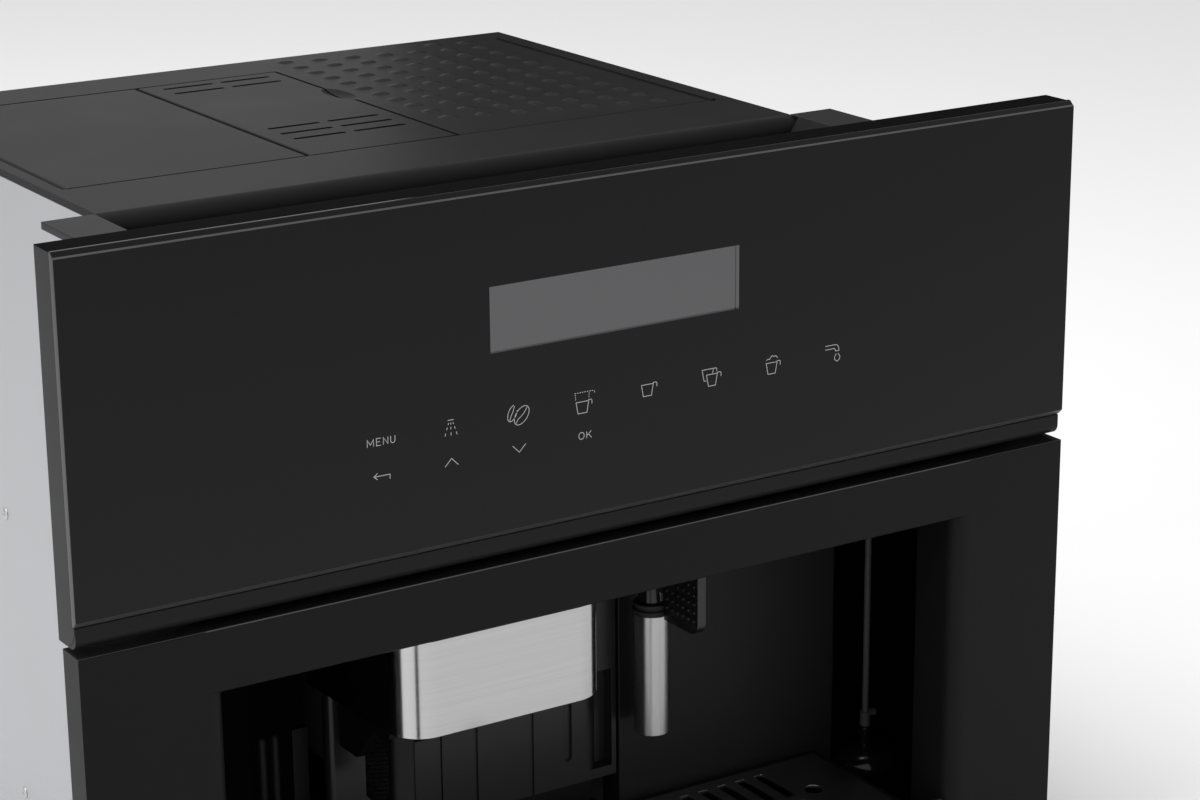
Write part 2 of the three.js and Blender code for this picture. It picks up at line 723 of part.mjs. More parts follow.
const pocketRight = CHASSIS.shelf - SHEET - SEAT;
const ceilingPlate = block(
  -NICHE.halfWidth - WALL,
  pocketRight,
  behindFascia,
  NICHE.depth + DOOR.wall,
  ceilingBottom,
  ceilingTop,
);
const bosses = [];
for (let i = 0; i < BOSS.count; i++) {
  const x = (i - (BOSS.count - 1) / 2) * BOSS.pitch;
  bosses.push(
    block(x - BOSS.half, x + BOSS.half, behindFascia, shortFlange, frameTop + SEAT, ceilingBottom + 1),
  );
}
const standoffs = [];
for (const [, sign] of sides) {
  const x = POWER.x + sign * (POWER.width / 2 - POST.side);
  for (const y of [POWER.front + POST.end, POWER.front + POWER.length - POST.end]) {
    standoffs.push(rod(POST.radius, ceilingTop - 1, ceilingTop + POWER.standoff, x, y, 12));
  }
}
const wandHole = rod(WAND.arm + RUN, ceilingBottom - 1, ceilingTop + 1, WAND.x, WAND.depth);
// The header hangs from the ceiling above the door and carries the upper hinge.
const headerBottom = openingTop - DOOR.headroom + RUN;
const header = block(
  DOOR.left,
  DOOR.right,
  NICHE.depth,
  NICHE.depth + DOOR.wall,
  headerBottom,
  ceilingBottom + 1,
);
const doorAxis = { x: DOOR.left + HINGE.inset, y: NICHE.depth + HINGE.inset };
const hingeEar = block(
  doorAxis.x - HINGE.ear / 2,
  doorAxis.x + HINGE.ear / 2,
  NICHE.depth,
  doorAxis.y + HINGE.ear / 2,
  headerBottom,
  headerBottom + HINGE.plate,
);
const hingeHole = (low, high) =>
  rod(HINGE.pin / 2 + RUN / 2, low, high, doorAxis.x, doorAxis.y, 16);
const ceilingParts = join(ceilingPlate, header, hingeEar, ...bosses, ...standoffs);
const ceiling = cut(ceilingParts, wandHole, hingeHole(headerBottom - 1, headerBottom + HINGE.pinLength));
add(body, "niche_ceiling", ceiling, satinBlack());

const panelTop = ceilingBottom - SEAT;
const panelBottom = floorTop + SEAT;
const panelBack = NICHE.depth + DOOR.wall;
const rightPanelLeft = DOOR.right + DOOR.reveal;
const ribBack = NICHE.depth + NICHE.rib;
const rightPanel = join(
  block(rightPanelLeft, NICHE.halfWidth, NICHE.depth, panelBack, panelBottom, panelTop),
  block(rightPanelLeft, rightPanelLeft + WALL, NICHE.depth, ribBack, panelBottom, panelTop),
);
add(body, "niche_panel_right", rightPanel, glossBlack());

// Left of the door the panel folds back into a channel, with two round-topped ribs and a step in it.
// The rear corner of the spout cover swings into it when the door opens.
const channelRight = DOOR.left - DOOR.reveal;
const channelBack = NICHE.depth + CHANNEL.depth;
const leftSection = polygon([
  [-NICHE.halfWidth - WALL, FRAME.reveal + SEAT],
  [-NICHE.halfWidth, FRAME.reveal + SEAT],
  [-NICHE.halfWidth, NICHE.depth],
  [CHANNEL.left, NICHE.depth],
  [CHANNEL.left, channelBack - WALL],
  [channelRight, channelBack - WALL],
  [channelRight, channelBack],
  [CHANNEL.left - WALL, channelBack],
  [CHANNEL.left - WALL, panelBack],
  [-NICHE.halfWidth - WALL, panelBack],
]);
const ribTop = panelBottom + RIB.height;
const ribs = RIB.x.map((x) => {
  const y = channelBack - WALL;
  const shaft = rod(RIB.radius, panelBottom, ribTop, x, y, 12);
  const cap = new THREE.SphereGeometry(RIB.radius, 12, 8).rotateX(Math.PI / 2).translate(x, y, ribTop);
  const behind = block(
    x - RIB.radius - 1,
    x + RIB.radius + 1,
    y + WALL / 2,
    y + RIB.radius + 1,
    panelBottom - 1,
    ribTop + RIB.radius + 1,
  );
  return cut(join(shaft, cap), behind);
});
const channelStep = block(
  channelRight - STEP.width,
  channelRight,
  channelBack - WALL - STEP.depth,
  channelBack - WALL / 2,
  panelBottom,
  panelBottom + STEP.height,
);
const leftPanel = join(run("z", leftSection, panelBottom, panelTop), ...ribs, channelStep);
add(body, "niche_panel_left", leftPanel, glossBlack());

// Right of the fixed panel a dark pocket holds the side fitting and hides the water tank.
const pocketLeft = CHASSIS.halfWidth + SEAT;
const pocketSection = polygon([
  [pocketLeft, NICHE.pocketRear - SHEET],
  [pocketRight - SHEET, NICHE.pocketRear - SHEET],
  [pocketRight - SHEET, FRAME.reveal + SEAT],
  [pocketRight, FRAME.reveal + SEAT],
  [pocketRight, NICHE.pocketRear],
  [pocketLeft, NICHE.pocketRear],
]);
add(body, "side_pocket", run("z", pocketSection, panelBottom, panelTop), satinBlack());

// ---------------------------------------------------------------- service door

const door = movingGroup(body, doorAxis.x, doorAxis.y, 0);
const doorTop = openingTop - DOOR.headroom;
const doorBack = NICHE.depth + DOOR.depth;
const doorShape = new THREE.Shape();
doorShape.moveTo(DOOR.right, NICHE.depth);
doorShape.lineTo(DOOR.right, doorBack);
doorShape.lineTo(doorAxis.x, doorBack);
doorShape.lineTo(DOOR.left, doorAxis.y);
doorShape.absarc(doorAxis.x, doorAxis.y, HINGE.inset, Math.PI, Math.PI * 1.5);
doorShape.closePath();
const doorHollow = block(
  DOOR.left + HINGE.inset * 3,
  DOOR.right - DOOR.wall,
  NICHE.depth + DOOR.wall,
  doorBack + 1,
  DOOR.bottom + DOOR.wall,
  doorTop - DOOR.wall,
);
// Fine vertical lines in the door, measured from the middle of the spout.
const grooves = [
  [TRACK.inner, TRACK.thin],
  [TRACK.outer, TRACK.wide],
  [TRACK.far, TRACK.wide],
].map(([offset, width]) => {
  const x = SPOUT.centre + offset;
  return block(
    x - width / 2,
    x + width / 2,
    NICHE.depth - 1,
    NICHE.depth + TRACK.cut,
    DOOR.bottom - 1,
    doorTop + 1,
  );
});
const flute = run(
  "y",
  roundedRect(
    FLUTE.bottom,
    doorTop + FLUTE.width,
    FLUTE.x - FLUTE.width / 2,
    FLUTE.x + FLUTE.width / 2,
    FLUTE.width / 2 - 0.01,
  ),
  NICHE.depth - 1,
  NICHE.depth + FLUTE.cut,
);
// The finger grip is a channel at the free edge, with one side that slopes in.
const gripRight = DOOR.right - DOOR.wall;
const gripLeft = gripRight - GRIP.width;
const gripBack = NICHE.depth + GRIP.depth;
const gripShape = new THREE.Shape();
gripShape.moveTo(gripLeft, NICHE.depth - 1);
gripShape.lineTo(gripRight, NICHE.depth - 1);
gripShape.lineTo(gripRight, gripBack);
gripShape.lineTo(gripLeft + GRIP.slope, gripBack);
gripShape.quadraticCurveTo(gripLeft + GRIP.slope - 2, NICHE.depth, gripLeft, NICHE.depth);
gripShape.closePath();
const gripRecess = run("z", gripShape, GRIP.bottom, GRIP.top, 5);
const gripCup = block(
  gripLeft + GRIP.slope / 2,
  gripRight + 1,
  NICHE.depth + 1,
  gripBack + DOOR.wall,
  GRIP.bottom - DOOR.wall,
  GRIP.top + DOOR.wall,
);
const doorShell = cut(run("z", doorShape, DOOR.bottom, doorTop), doorHollow);
const pins = [
  [doorTop - 1, headerBottom + HINGE.pinLength - 2],
  [DOOR.bottom - HINGE.pinLength, DOOR.bottom + 1],
].map(([low, high]) => rod(HINGE.pin / 2, low, high, doorAxis.x, doorAxis.y, 16));
const doorSolid = cut(join(doorShell, gripCup, ...pins), gripRecess, flute, ...grooves);
add(door, "service_door", doorSolid, glossBlack());

const bracketTop = DOOR.bottom - RUN;
const footLeft = doorAxis.x - HINGE.ear / 2;
const footRight = doorAxis.x + HINGE.ear / 2;
const footBack = channelBack + DOOR.wall + HINGE.plate;
const hingeFoot = cut(
  join(
    block(footLeft, footRight, NICHE.depth, footBack, bracketTop - HINGE.plate, bracketTop),
    block(footLeft, footRight, footBack - HINGE.plate, footBack, floorTop + SEAT, bracketTop),
  ),
  hingeHole(bracketTop - HINGE.pinLength - 2, bracketTop + 1),
);
add(body, "door_hinge_foot", hingeFoot, zincSheet());

// ---------------------------------------------------------------- coffee spout on the door

const spout = movingGroup(door, SPOUT.centre, spoutRear, spoutBottom);

// The plan of the cover: rounded front corners, sides that flare a little to the rear.
function coverPlan(inset) {
  const half = SPOUT.width / 2 - inset;
  const flare = COVER.flare;
  const radius = SPOUT.edge - inset;
  const front = spoutFront + inset;
  const plan = new THREE.Shape();
  plan.moveTo(SPOUT.centre - half + radius, front);
  plan.lineTo(SPOUT.centre + half - radius, front);
  plan.absarc(SPOUT.centre + half - radius, front + radius, radius, -Math.PI / 2, 0);
  plan.lineTo(SPOUT.centre + half + flare, spoutRear);
  plan.lineTo(SPOUT.centre - half - flare, spoutRear);
  plan.absarc(SPOUT.centre - half + radius, front + radius, radius, Math.PI, Math.PI * 1.5);
  plan.closePath();
  return plan;
}
const coverOuter = run("z", coverPlan(0), spoutBottom, spoutTop, 8);
const coverInner = run("z", coverPlan(COVER.wall), spoutBottom - 1, spoutTop - COVER.wall, 8);
add(spout, "spout_cover", cut(coverOuter, coverInner), steel());

// The nozzle block under the cover: a chin in profile, on a slide plate that runs on the door.
const beakTop = spoutTop - COVER.wall - SEAT;
const beakRoot = spoutBottom - BEAK.rootDrop;
const chinLow = spoutBottom - BEAK.chinDrop;
const beakShape = new THREE.Shape();
beakShape.moveTo(spoutRear, beakRoot);
beakShape.lineTo(spoutRear, beakTop);
beakShape.lineTo(BEAK.front + BEAK.shoulder, beakTop);
beakShape.lineTo(BEAK.front + BEAK.chin * 0.6, spoutBottom + BEAK.chin * 0.4);
beakShape.quadraticCurveTo(BEAK.front, spoutBottom, BEAK.front + 2, chinLow + BEAK.chin * 0.3);
beakShape.quadraticCurveTo(BEAK.front + 3, chinLow, BEAK.front + BEAK.chin * 0.5, chinLow);
beakShape.lineTo(BEAK.front + BEAK.chin, chinLow);
beakShape.lineTo(spoutRear - BEAK.heel, beakRoot);
beakShape.closePath();
const beakHalf = BEAK.width / 2;
const beakBody = run("x", beakShape, SPOUT.centre - beakHalf, SPOUT.centre + beakHalf, 6);
const slidePlate = block(
  SPOUT.centre - TRACK.outer,
  SPOUT.centre + TRACK.outer,
  spoutRear - 1,
  NICHE.depth - RUN,
  beakRoot,
  beakTop,
);
// The handle that the spout is raised and lowered by hangs at the left of the block.
const handleLeft = SPOUT.centre - HANDLE.reach;
const handle = run(
  "z",
  roundedRect(handleLeft, handleLeft + HANDLE.width, HANDLE.front, HANDLE.rear, HANDLE.radius),
  spoutBottom - HANDLE.drop,
  spoutBottom,
  4,
);
const outletX = [SPOUT.centre - NOZZLE.pitch / 2, SPOUT.centre + NOZZLE.pitch / 2];
const neckRadius = NOZZLE.radius - NOZZLE.wall - SEAT;
const outletSockets = outletX.map((x) =>
  rod(neckRadius + SEAT, chinLow - 1, chinLow + NOZZLE.socket + 1, x, NOZZLE.depth, 16),
);
const beak = cut(join(beakBody, slidePlate, handle), ...outletSockets);
add(spout, "nozzle_block", beak, satinBlack());
const tipLow = chinLow - NOZZLE.length;
const stubProfile = [
  [NOZZLE.bore, tipLow],
  [NOZZLE.radius - NOZZLE.wall, tipLow],
  [NOZZLE.radius, tipLow + NOZZLE.wall],
  [NOZZLE.radius, chinLow - SEAT],
  [neckRadius, chinLow - SEAT],
  [neckRadius, chinLow + NOZZLE.socket],
  [NOZZLE.bore - NOZZLE.wall / 2, chinLow + NOZZLE.socket],
  [NOZZLE.bore, tipLow],
];
sides.forEach(([side], i) => {
  add(spout, `nozzle_${side}`, turned(stubProfile, outletX[i], NOZZLE.depth, 16), steel());
});

// ---------------------------------------------------------------- hot water wand

const wand = movingGroup(body, WAND.x, WAND.depth, ceilingBottom);
const sleeveTop = wandBottom + SLEEVE.length;
const collarBottom = sleeveTop + SEAT;
const collarTop = collarBottom + COLLAR.height;
const armBottom = collarTop + SEAT;
const armTop = ceilingTop + COLLAR.height;
const flangeRadius = WAND.arm + SOCKET.rim;
const armTube = rod(WAND.arm, armBottom, armTop, WAND.x, WAND.depth, 24);
const armPipe = rod(WAND.pipe, wandBottom + SLEEVE.mouth - 2, armBottom + 1, WAND.x, WAND.depth, 16);
const tabTop = armBottom + TAB.height;
const tabLow = collarBottom - TAB.sink;
const tabStart = armBottom + TAB.rise;
const tabFront = WAND.depth - TAB.reach;
const tabBack = WAND.depth - COLLAR.radius - TAB.gap;
const tabShape = new THREE.Shape();
tabShape.moveTo(WAND.depth, tabTop);
tabShape.lineTo(tabFront, tabTop - TAB.slant);
tabShape.lineTo(tabFront, tabLow + TAB.corner);
tabShape.absarc(tabFront + TAB.corner, tabLow + TAB.corner, TAB.corner, Math.PI, Math.PI * 1.5);
tabShape.lineTo(tabBack, tabLow);
tabShape.lineTo(tabBack, tabStart);
tabShape.lineTo(WAND.depth, tabStart);
tabShape.closePath();
const tabPlate = run("x", tabShape, WAND.x, WAND.x + TAB.thickness, 5);
const waterWay = rod(WAND.bore, wandBottom, armTop + 1, WAND.x, WAND.depth, 12);
add(wand, "wand_arm", cut(join(armTube, armPipe, tabPlate), waterWay), satinBlack());

const collarLip = COLLAR.radius - 0.6;
const collarFillet = 0.4;
const collarProfile = [
  [WAND.pipe + SEAT, collarBottom],
  [COLLAR.radius, collarBottom],
  [COLLAR.radius, collarBottom + COLLAR.ring],
  [COLLAR.neck, collarBottom + COLLAR.ring + collarFillet],
  [COLLAR.neck, collarTop - COLLAR.ring - collarFillet],
  [collarLip, collarTop - COLLAR.ring],
  [collarLip, collarTop],
  [WAND.pipe + SEAT, collarTop],
  [WAND.pipe + SEAT, collarBottom],
];
add(wand, "wand_collar", turned(collarProfile, WAND.x, WAND.depth, 24), rubberBlack());

const sleeve = movingGroup(wand, WAND.x, WAND.depth, wandBottom);
const sleeveBore = SLEEVE.radius - SLEEVE.wall;
const sleeveProfile = [
  [WAND.pipe + RUN, sleeveTop],
  [WAND.pipe + RUN, wandBottom + SLEEVE.mouth + sleeveBore - WAND.pipe - RUN],
  [sleeveBore, wandBottom + SLEEVE.mouth],
  [sleeveBore, wandBottom],
  [SLEEVE.radius - SLEEVE.bevel, wandBottom],
  [SLEEVE.radius, wandBottom + SLEEVE.bevel],
  [SLEEVE.radius, sleeveTop - SLEEVE.bevel],
  [SLEEVE.radius - SLEEVE.bevel, sleeveTop],
  [WAND.pipe + RUN, sleeveTop],
];
add(sleeve, "wand_sleeve", turned(sleeveProfile, WAND.x, WAND.depth, 28), steel());

const armBore = WAND.arm + RUN;
const socketTop = ceilingBottom - SEAT;
const socketLow = socketTop - SOCKET.height;
const socket = pipe(flangeRadius, armBore, socketLow, socketTop, WAND.x, WAND.depth, 28);
add(body, "wand_socket", socket, satinBlack());
const valveLow = ceilingTop + SEAT;
const valveHigh = ceilingTop + SOCKET.valve;
const wandValve = pipe(flangeRadius, armBore, valveLow, valveHigh, WAND.x, WAND.depth, 24);
add(body, "wand_valve", wandValve, satinBlack());

// ---------------------------------------------------------------- side fitting and its tube

const valveBase = floorTop + SEAT;
const valveTop = valveBase + VALVE.height;
const dome = [[0, valveBase], [VALVE.radius, valveBase], [VALVE.radius, valveBase + VALVE.brim]];
for (let i = 1; i <= 6; i++) {
  const turn = ((i / 6) * Math.PI) / 2;
  const radius = VALVE.coupling + (VALVE.radius - VALVE.coupling) * Math.cos(turn);
  dome.push([radius, valveBase + VALVE.brim + (VALVE.height - VALVE.brim) * Math.sin(turn)]);
}
const couplingTop = valveTop + VALVE.couplingHeight;
dome.push(
  [VALVE.coupling, couplingTop - 1],
  [VALVE.coupling - 1, couplingTop],
  [0, couplingTop],
);
add(body, "side_valve", turned(dome, VALVE.x, VALVE.depth, 24), satinBlack());
const tubeLow = couplingTop + SEAT;
const cuffTop = tubeLow + TUBE.cuffHeight;
const tube = rod(TUBE.radius, tubeLow, ceilingBottom - SEAT, VALVE.x, VALVE.depth, 12);
const cuff = rod(TUBE.cuff, tubeLow, cuffTop, VALVE.x, VALVE.depth, 14);
const catchPlate = block(
  VALVE.x,
  VALVE.x + TUBE.catch,
  VALVE.depth - TUBE.radius,
  VALVE.depth + TUBE.radius,
  cuffTop - TUBE.catchHeight,
  cuffTop,
);
add(body, "side_tube", join(tube, cuff, catchPlate), mattGrey());

// ---------------------------------------------------------------- drip tray, cup grid, grounds drawer

const tray = movingGroup(body, 0, TRAY.front, floorTop);
const trayBottom = floorTop + SEAT;
const trayTop = trayBottom + TRAY.height;
const tubFront = TRAY.front + TRAY.fasciaWall + SEAT;
const trayPlan = (inset) =>
  polygon([
    [-TRAY.halfWidth + inset, tubFront + inset],
    [TRAY.halfWidth - inset, tubFront + inset],
    [TRAY.halfWidth - inset, TRAY.rear - inset],
    [DRAWER.right - inset, TRAY.rear - inset],
    [DRAWER.right - inset, DRAWER.rear - inset],
    [DRAWER.left + inset, DRAWER.rear - inset],
    [DRAWER.left + inset, TRAY.rear - inset],
    [-TRAY.halfWidth + inset, TRAY.rear - inset],
  ]);
const trayFloor = trayBottom + TRAY.wall;
const gridInset = TRAY.wall + RUN;
const gridEdge = {
  x: TRAY.halfWidth - gridInset,
  front: tubFront + gridInset,
  rear: TRAY.rear - gridInset,
};
const gridLow = trayTop - GRID.wall;
const gridPosts = [];
for (const x of [-gridEdge.x + GRID.bridge, 0, gridEdge.x - GRID.bridge]) {
  for (const y of [gridEdge.front + GRID.margin, gridEdge.rear - GRID.margin]) {
    gridPosts.push(rod(GRID.post, trayFloor - 1, gridLow - SEAT, x, y, 10));
  }
}
const tubShell = cut(
  run("z", trayPlan(0), trayBottom, trayTop),
  run("z", trayPlan(TRAY.wall), trayFloor, trayTop + 1),
);
add(tray, "drip_tub", join(tubShell, ...gridPosts), satinBlack());
const trayFascia = run(
  "y",
  roundedRect(
    trayBottom,
    trayBottom + TRAY.fascia,
    -OPENING.halfWidth + RUN,
    OPENING.halfWidth - RUN,
    2,
  ),
  TRAY.front,
  TRAY.front + TRAY.fasciaWall,
  3,
);
add(tray, "tray_front", trayFascia, glossBlack());

const cupGrid = movingGroup(tray, 0, tubFront, trayTop);
const gridMiddle = (gridEdge.front + gridEdge.rear) / 2;
const gridBlank = block(-gridEdge.x, gridEdge.x, gridEdge.front, gridEdge.rear, gridLow, trayTop);
const floatClear = FLOAT.radius + RUN;
const gridSlots = [rod(floatClear, gridLow - 1, trayTop + 1, FLOAT.x, FLOAT.depth, 16)];
const slotCount = Math.floor((2 * (gridEdge.x - GRID.bridge)) / GRID.pitch);
for (let i = 0; i < slotCount; i++) {
  const x = (i - (slotCount - 1) / 2) * GRID.pitch;
  const halfSlot = GRID.slot / 2;
  if (Math.abs(x - FLOAT.x) < floatClear + GRID.slot + 1) continue;
  const rows = [
    [gridEdge.front + GRID.bridge, gridMiddle - GRID.bridge / 2],
    [gridMiddle + GRID.bridge / 2, gridEdge.rear - GRID.bridge],
  ];
  for (const [from, to] of rows) {
    gridSlots.push(block(x - halfSlot, x + halfSlot, from, to, gridLow - 1, trayTop + 1));
  }
}
add(cupGrid, "cup_grid", cut(gridBlank, ...gridSlots), steel());

const float = movingGroup(tray, FLOAT.x, FLOAT.depth, trayTop);
const floatLow = trayFloor + SEAT;
const floatTop = gridLow - FLOAT.below;
const floatProfile = [
  [0, floatLow],
  [FLOAT.radius - 1, floatLow],
  [FLOAT.radius, floatLow + 1],
  [FLOAT.radius, floatLow + FLOAT.height],
  [FLOAT.stem, floatLow + FLOAT.height + 1],
  [FLOAT.stem, floatTop - 1],
  [FLOAT.stem - 1, floatTop],
  [0, floatTop],
];
add(float, "level_float", turned(floatProfile, FLOAT.x, FLOAT.depth, 16), redPlastic());

const binBottom = trayFloor + SEAT;
const binTop = binBottom + GROUNDS.height;
const binLeft = DRAWER.left + TRAY.wall + RUN;
const binRight = DRAWER.right - TRAY.wall - RUN;
const binFront = TRAY.rear + DOOR.depth;
const binRear = DRAWER.rear - TRAY.wall - RUN;
const binSection = (inset, low) => [
  [low, binLeft + inset + GROUNDS.draft],
  [low, binRight - inset - GROUNDS.draft],
  [binTop, binRight - inset],
  [binTop, binLeft + inset],
];
const bin = cut(
  run("y", polygon(binSection(0, binBottom)), binFront, binRear),
  run(
    "y",
    polygon([
      ...binSection(GROUNDS.wall, binBottom + GROUNDS.wall).slice(0, 2),
      [binTop + 1, binRight - GROUNDS.wall],
      [binTop + 1, binLeft + GROUNDS.wall],
    ]),
    binFront + GROUNDS.wall,
    binRear - GROUNDS.wall,
  ),
);
add(tray, "grounds_bin", bin, satinBlack());

// ---------------------------------------------------------------- beans, grinder and ground-coffee chute

const wellTop = lidBottom - SEAT;
const hopperLeft = LIDS.left;
const hopperRight = LIDS.split - LIDS.gap / 2;
const hopperX = (hopperLeft + hopperRight) / 2;
const hopperY = (LIDS.front + HOPPER.rear) / 2;
const hopperBottom = wellTop - HOPPER.depth;
const flangeReach = LIDS.gap + 4;
const flangeEdge = {
  left: hopperLeft - flangeReach,
  right: hopperRight,
  front: LIDS.front - flangeReach,
  rear: LIDS.rear + flangeReach,
};

function hopperBox(inset, low, high) {
  const half = HOPPER.floorWidth / 2 - inset;
  return run(
    "y",
    polygon([
      [low, hopperX - half],
      [low, hopperX + half],
      [wellTop - HOPPER.straight, hopperRight - HOPPER.sideInset - inset],
      [high, hopperRight - HOPPER.sideInset - inset],
      [high, hopperLeft + HOPPER.sideInset + inset],
      [wellTop - HOPPER.straight, hopperLeft + HOPPER.sideInset + inset],
    ]),
    LIDS.front + HOPPER.frontInset + inset,
    HOPPER.rear - inset,
  );
}
const hopperFlange = block(
  flangeEdge.left,
  flangeEdge.right,
  flangeEdge.front,
  flangeEdge.rear,
  wellTop - HOPPER.flange,
  wellTop,
);
const ledgeX = hopperRight - HOPPER.sideInset - HOPPER.wall - DIAL.margin - DIAL.radius;
const ledgeY = LIDS.front + HOPPER.frontInset + HOPPER.wall + DIAL.margin + DIAL.radius;
const ledgeTop = wellTop - DIAL.ledge;
const ledge = block(
  ledgeX - DIAL.radius - DIAL.margin,
  hopperRight - HOPPER.sideInset,
  LIDS.front + HOPPER.frontInset,
  ledgeY + DIAL.radius + DIAL.margin,
  hopperBottom,
  ledgeTop,
);
const throat = rod(HOPPER.throat, hopperBottom - 1, hopperBottom + HOPPER.wall + 1, hopperX, hopperY, 24);
const hopperShell = cut(
  join(hopperBox(0, hopperBottom, wellTop), hopperFlange),
  hopperBox(HOPPER.wall, hopperBottom + HOPPER.wall, wellTop + 1),
);
const ledgeInside = solidOf(ledge).intersect(solidOf(hopperBox(HOPPER.wall / 2, hopperBottom, wellTop)));
const ledgePiece = geometryOf(ledgeInside);
const stemDepth = DIAL.stemLength + DIAL.margin;
const ledgeBore = rod(DIAL.stem + SEAT, ledgeTop - stemDepth, ledgeTop + 1, ledgeX, ledgeY, 12);
add(body, "bean_hopper", cut(join(hopperShell, ledgePiece), throat, ledgeBore), smoked());

const grinderTop = hopperBottom - SEAT;
const grinderBottom = grinderTop - GRINDER.height;
const burrSeat = grinderBottom + GRINDER.base;
const housingProfile = [
  [GRINDER.hub, grinderBottom],
  [GRINDER.radius, grinderBottom],
  [GRINDER.radius, grinderTop - GRINDER.bevel],
  [GRINDER.radius - GRINDER.bevel, grinderTop],
  [GRINDER.bore + SEAT, grinderTop],
  [GRINDER.bore + SEAT, burrSeat],
  [GRINDER.hub, burrSeat],
  [GRINDER.hub, grinderBottom],
];
add(body, "grinder_housing", turned(housingProfile, hopperX, hopperY, 28), mattGrey());
const ringProfile = [
  [RING.throat, burrSeat + RING.low],
  [GRINDER.bore, burrSeat + RING.low],
  [GRINDER.bore, grinderTop - RING.below],
  [RING.mouth, grinderTop - RING.below],
  [RING.lip, burrSeat + RING.lipHeight],
  [RING.throat, burrSeat + RING.low],
];
add(body, "burr_ring", turned(ringProfile, hopperX, hopperY, 28), ceramicWhite());

const burr = movingGroup(body, hopperX, hopperY, burrSeat);
const shaftLow = grinderBottom - BURR.shaft;
const coneProfile = [
  [0, shaftLow],
  [BURR.shaft, shaftLow],
  [BURR.shaft, burrSeat + SEAT],
  [BURR.skirt, burrSeat + SEAT],
  [BURR.skirt, burrSeat + BURR.skirtHeight],
  [BURR.neck, burrSeat + BURR.neckHeight],
  [BURR.tip, burrSeat + BURR.height],
  [0, burrSeat + BURR.height],
];
const cone = turned(coneProfile, hopperX, hopperY, 24);
const flutes = [];
for (let i = 0; i < FLUTES.count; i++) {
  const cutter = new THREE.BoxGeometry(FLUTES.width, FLUTES.depth, FLUTES.length);
  cutter.rotateX(-FLUTES.slant);
  cutter.translate(0, FLUTES.reach, 0);
  cutter.rotateZ((i / FLUTES.count) * Math.PI * 2);
  flutes.push(cutter.translate(hopperX, hopperY, burrSeat + FLUTES.rise));
}
add(burr, "burr_cone", cut(cone, ...flutes), ceramicWhite());

const motorTop = grinderBottom - SEAT;
const motorFoot = motorTop - MOTOR.length;
const shaftBore = BURR.shaft + RUN;
const motorProfile = [
  [shaftBore, motorTop],
  [shaftBore, motorTop - MOTOR.socket],
  [0, motorTop - MOTOR.socket],
  [0, motorFoot],
  [MOTOR.radius - MOTOR.bevel, motorFoot],
  [MOTOR.radius, motorFoot + MOTOR.bevel],
  [MOTOR.radius, motorTop - MOTOR.bevel],
  [MOTOR.radius - MOTOR.bevel, motorTop],
  [shaftBore, motorTop],
];
add(body, "grinder_motor", turned(motorProfile, hopperX, hopperY, 24), steel());
const standTop = motorFoot - SEAT;
const standLeft = hopperX - STAND.half;
const standFront = hopperY - STAND.half;
const standRear = hopperY + STAND.half;
const motorPost = join(
  block(standLeft, hopperX + STAND.half, standFront, standRear, standTop - STAND.plate, standTop),
  block(standLeft - STAND.post, standLeft, standFront, standRear, floorTop + SEAT, standTop),
);
add(body, "motor_stand", motorPost, zincSheet());

const dial = movingGroup(body, ledgeX, ledgeY, ledgeTop);
const dialShape = new THREE.Shape();
const dialSteps = KNURL.teeth * 2;
for (let i = 0; i <= dialSteps; i++) {
  const turn = (i / dialSteps) * Math.PI * 2;
  const radius = DIAL.radius - (i % 2) * KNURL.depth;
  const u = ledgeX + radius * Math.cos(turn);
  const v = ledgeY + radius * Math.sin(turn);
  if (i === 0) dialShape.moveTo(u, v);
  else if (i < dialSteps) dialShape.lineTo(u, v);
}
dialShape.closePath();
const dialKnob = join(
  run("z", dialShape, ledgeTop + SEAT, ledgeTop + DIAL.height),
  rod(DIAL.stem, ledgeTop - DIAL.stemLength, ledgeTop + 1, ledgeX, ledgeY, 12),
);
const dialMark = block(
  ledgeX - MARK.width / 2,
  ledgeX + MARK.width / 2,
  ledgeY - DIAL.radius - 1,
  ledgeY - MARK.inner,
  ledgeTop + DIAL.height - MARK.depth,
  ledgeTop + DIAL.height + 1,
);
add(dial, "grind_dial", cut(dialKnob, dialMark), satinBlack());

const middleLeft = LIDS.split + LIDS.gap / 2;
const chuteX = (middleLeft + LIDS.right) / 2;
function chute(inset, low, high, lowInset) {
  const half = FUNNEL.width / 2 - inset;
  const throatHalf = FUNNEL.throat / 2 - lowInset;
  return run(
    "y",
    polygon([
      [low, chuteX - throatHalf],
      [low, chuteX + throatHalf],
      [high - FUNNEL.straight, chuteX + half],
      [high, chuteX + half],
      [high, chuteX - half],
      [high - FUNNEL.straight, chuteX - half],
    ]),
    FUNNEL.front + inset,
    FUNNEL.front + FUNNEL.length - inset,
  );
}
const chuteBottom = wellTop - FUNNEL.depth;
const chutePlate = block(
  middleLeft,
  LIDS.right + flangeReach,
  flangeEdge.front,
  flangeEdge.rear,
  wellTop - HOPPER.flange,
  wellTop,
);
const chuteSolid = cut(
  join(chute(0, chuteBottom, wellTop, 0), chutePlate),
  chute(HOPPER.wall, chuteBottom - 1, wellTop + 1, HOPPER.wall),
);
add(body, "ground_chute", chuteSolid, mattGrey());

// ---------------------------------------------------------------- lids

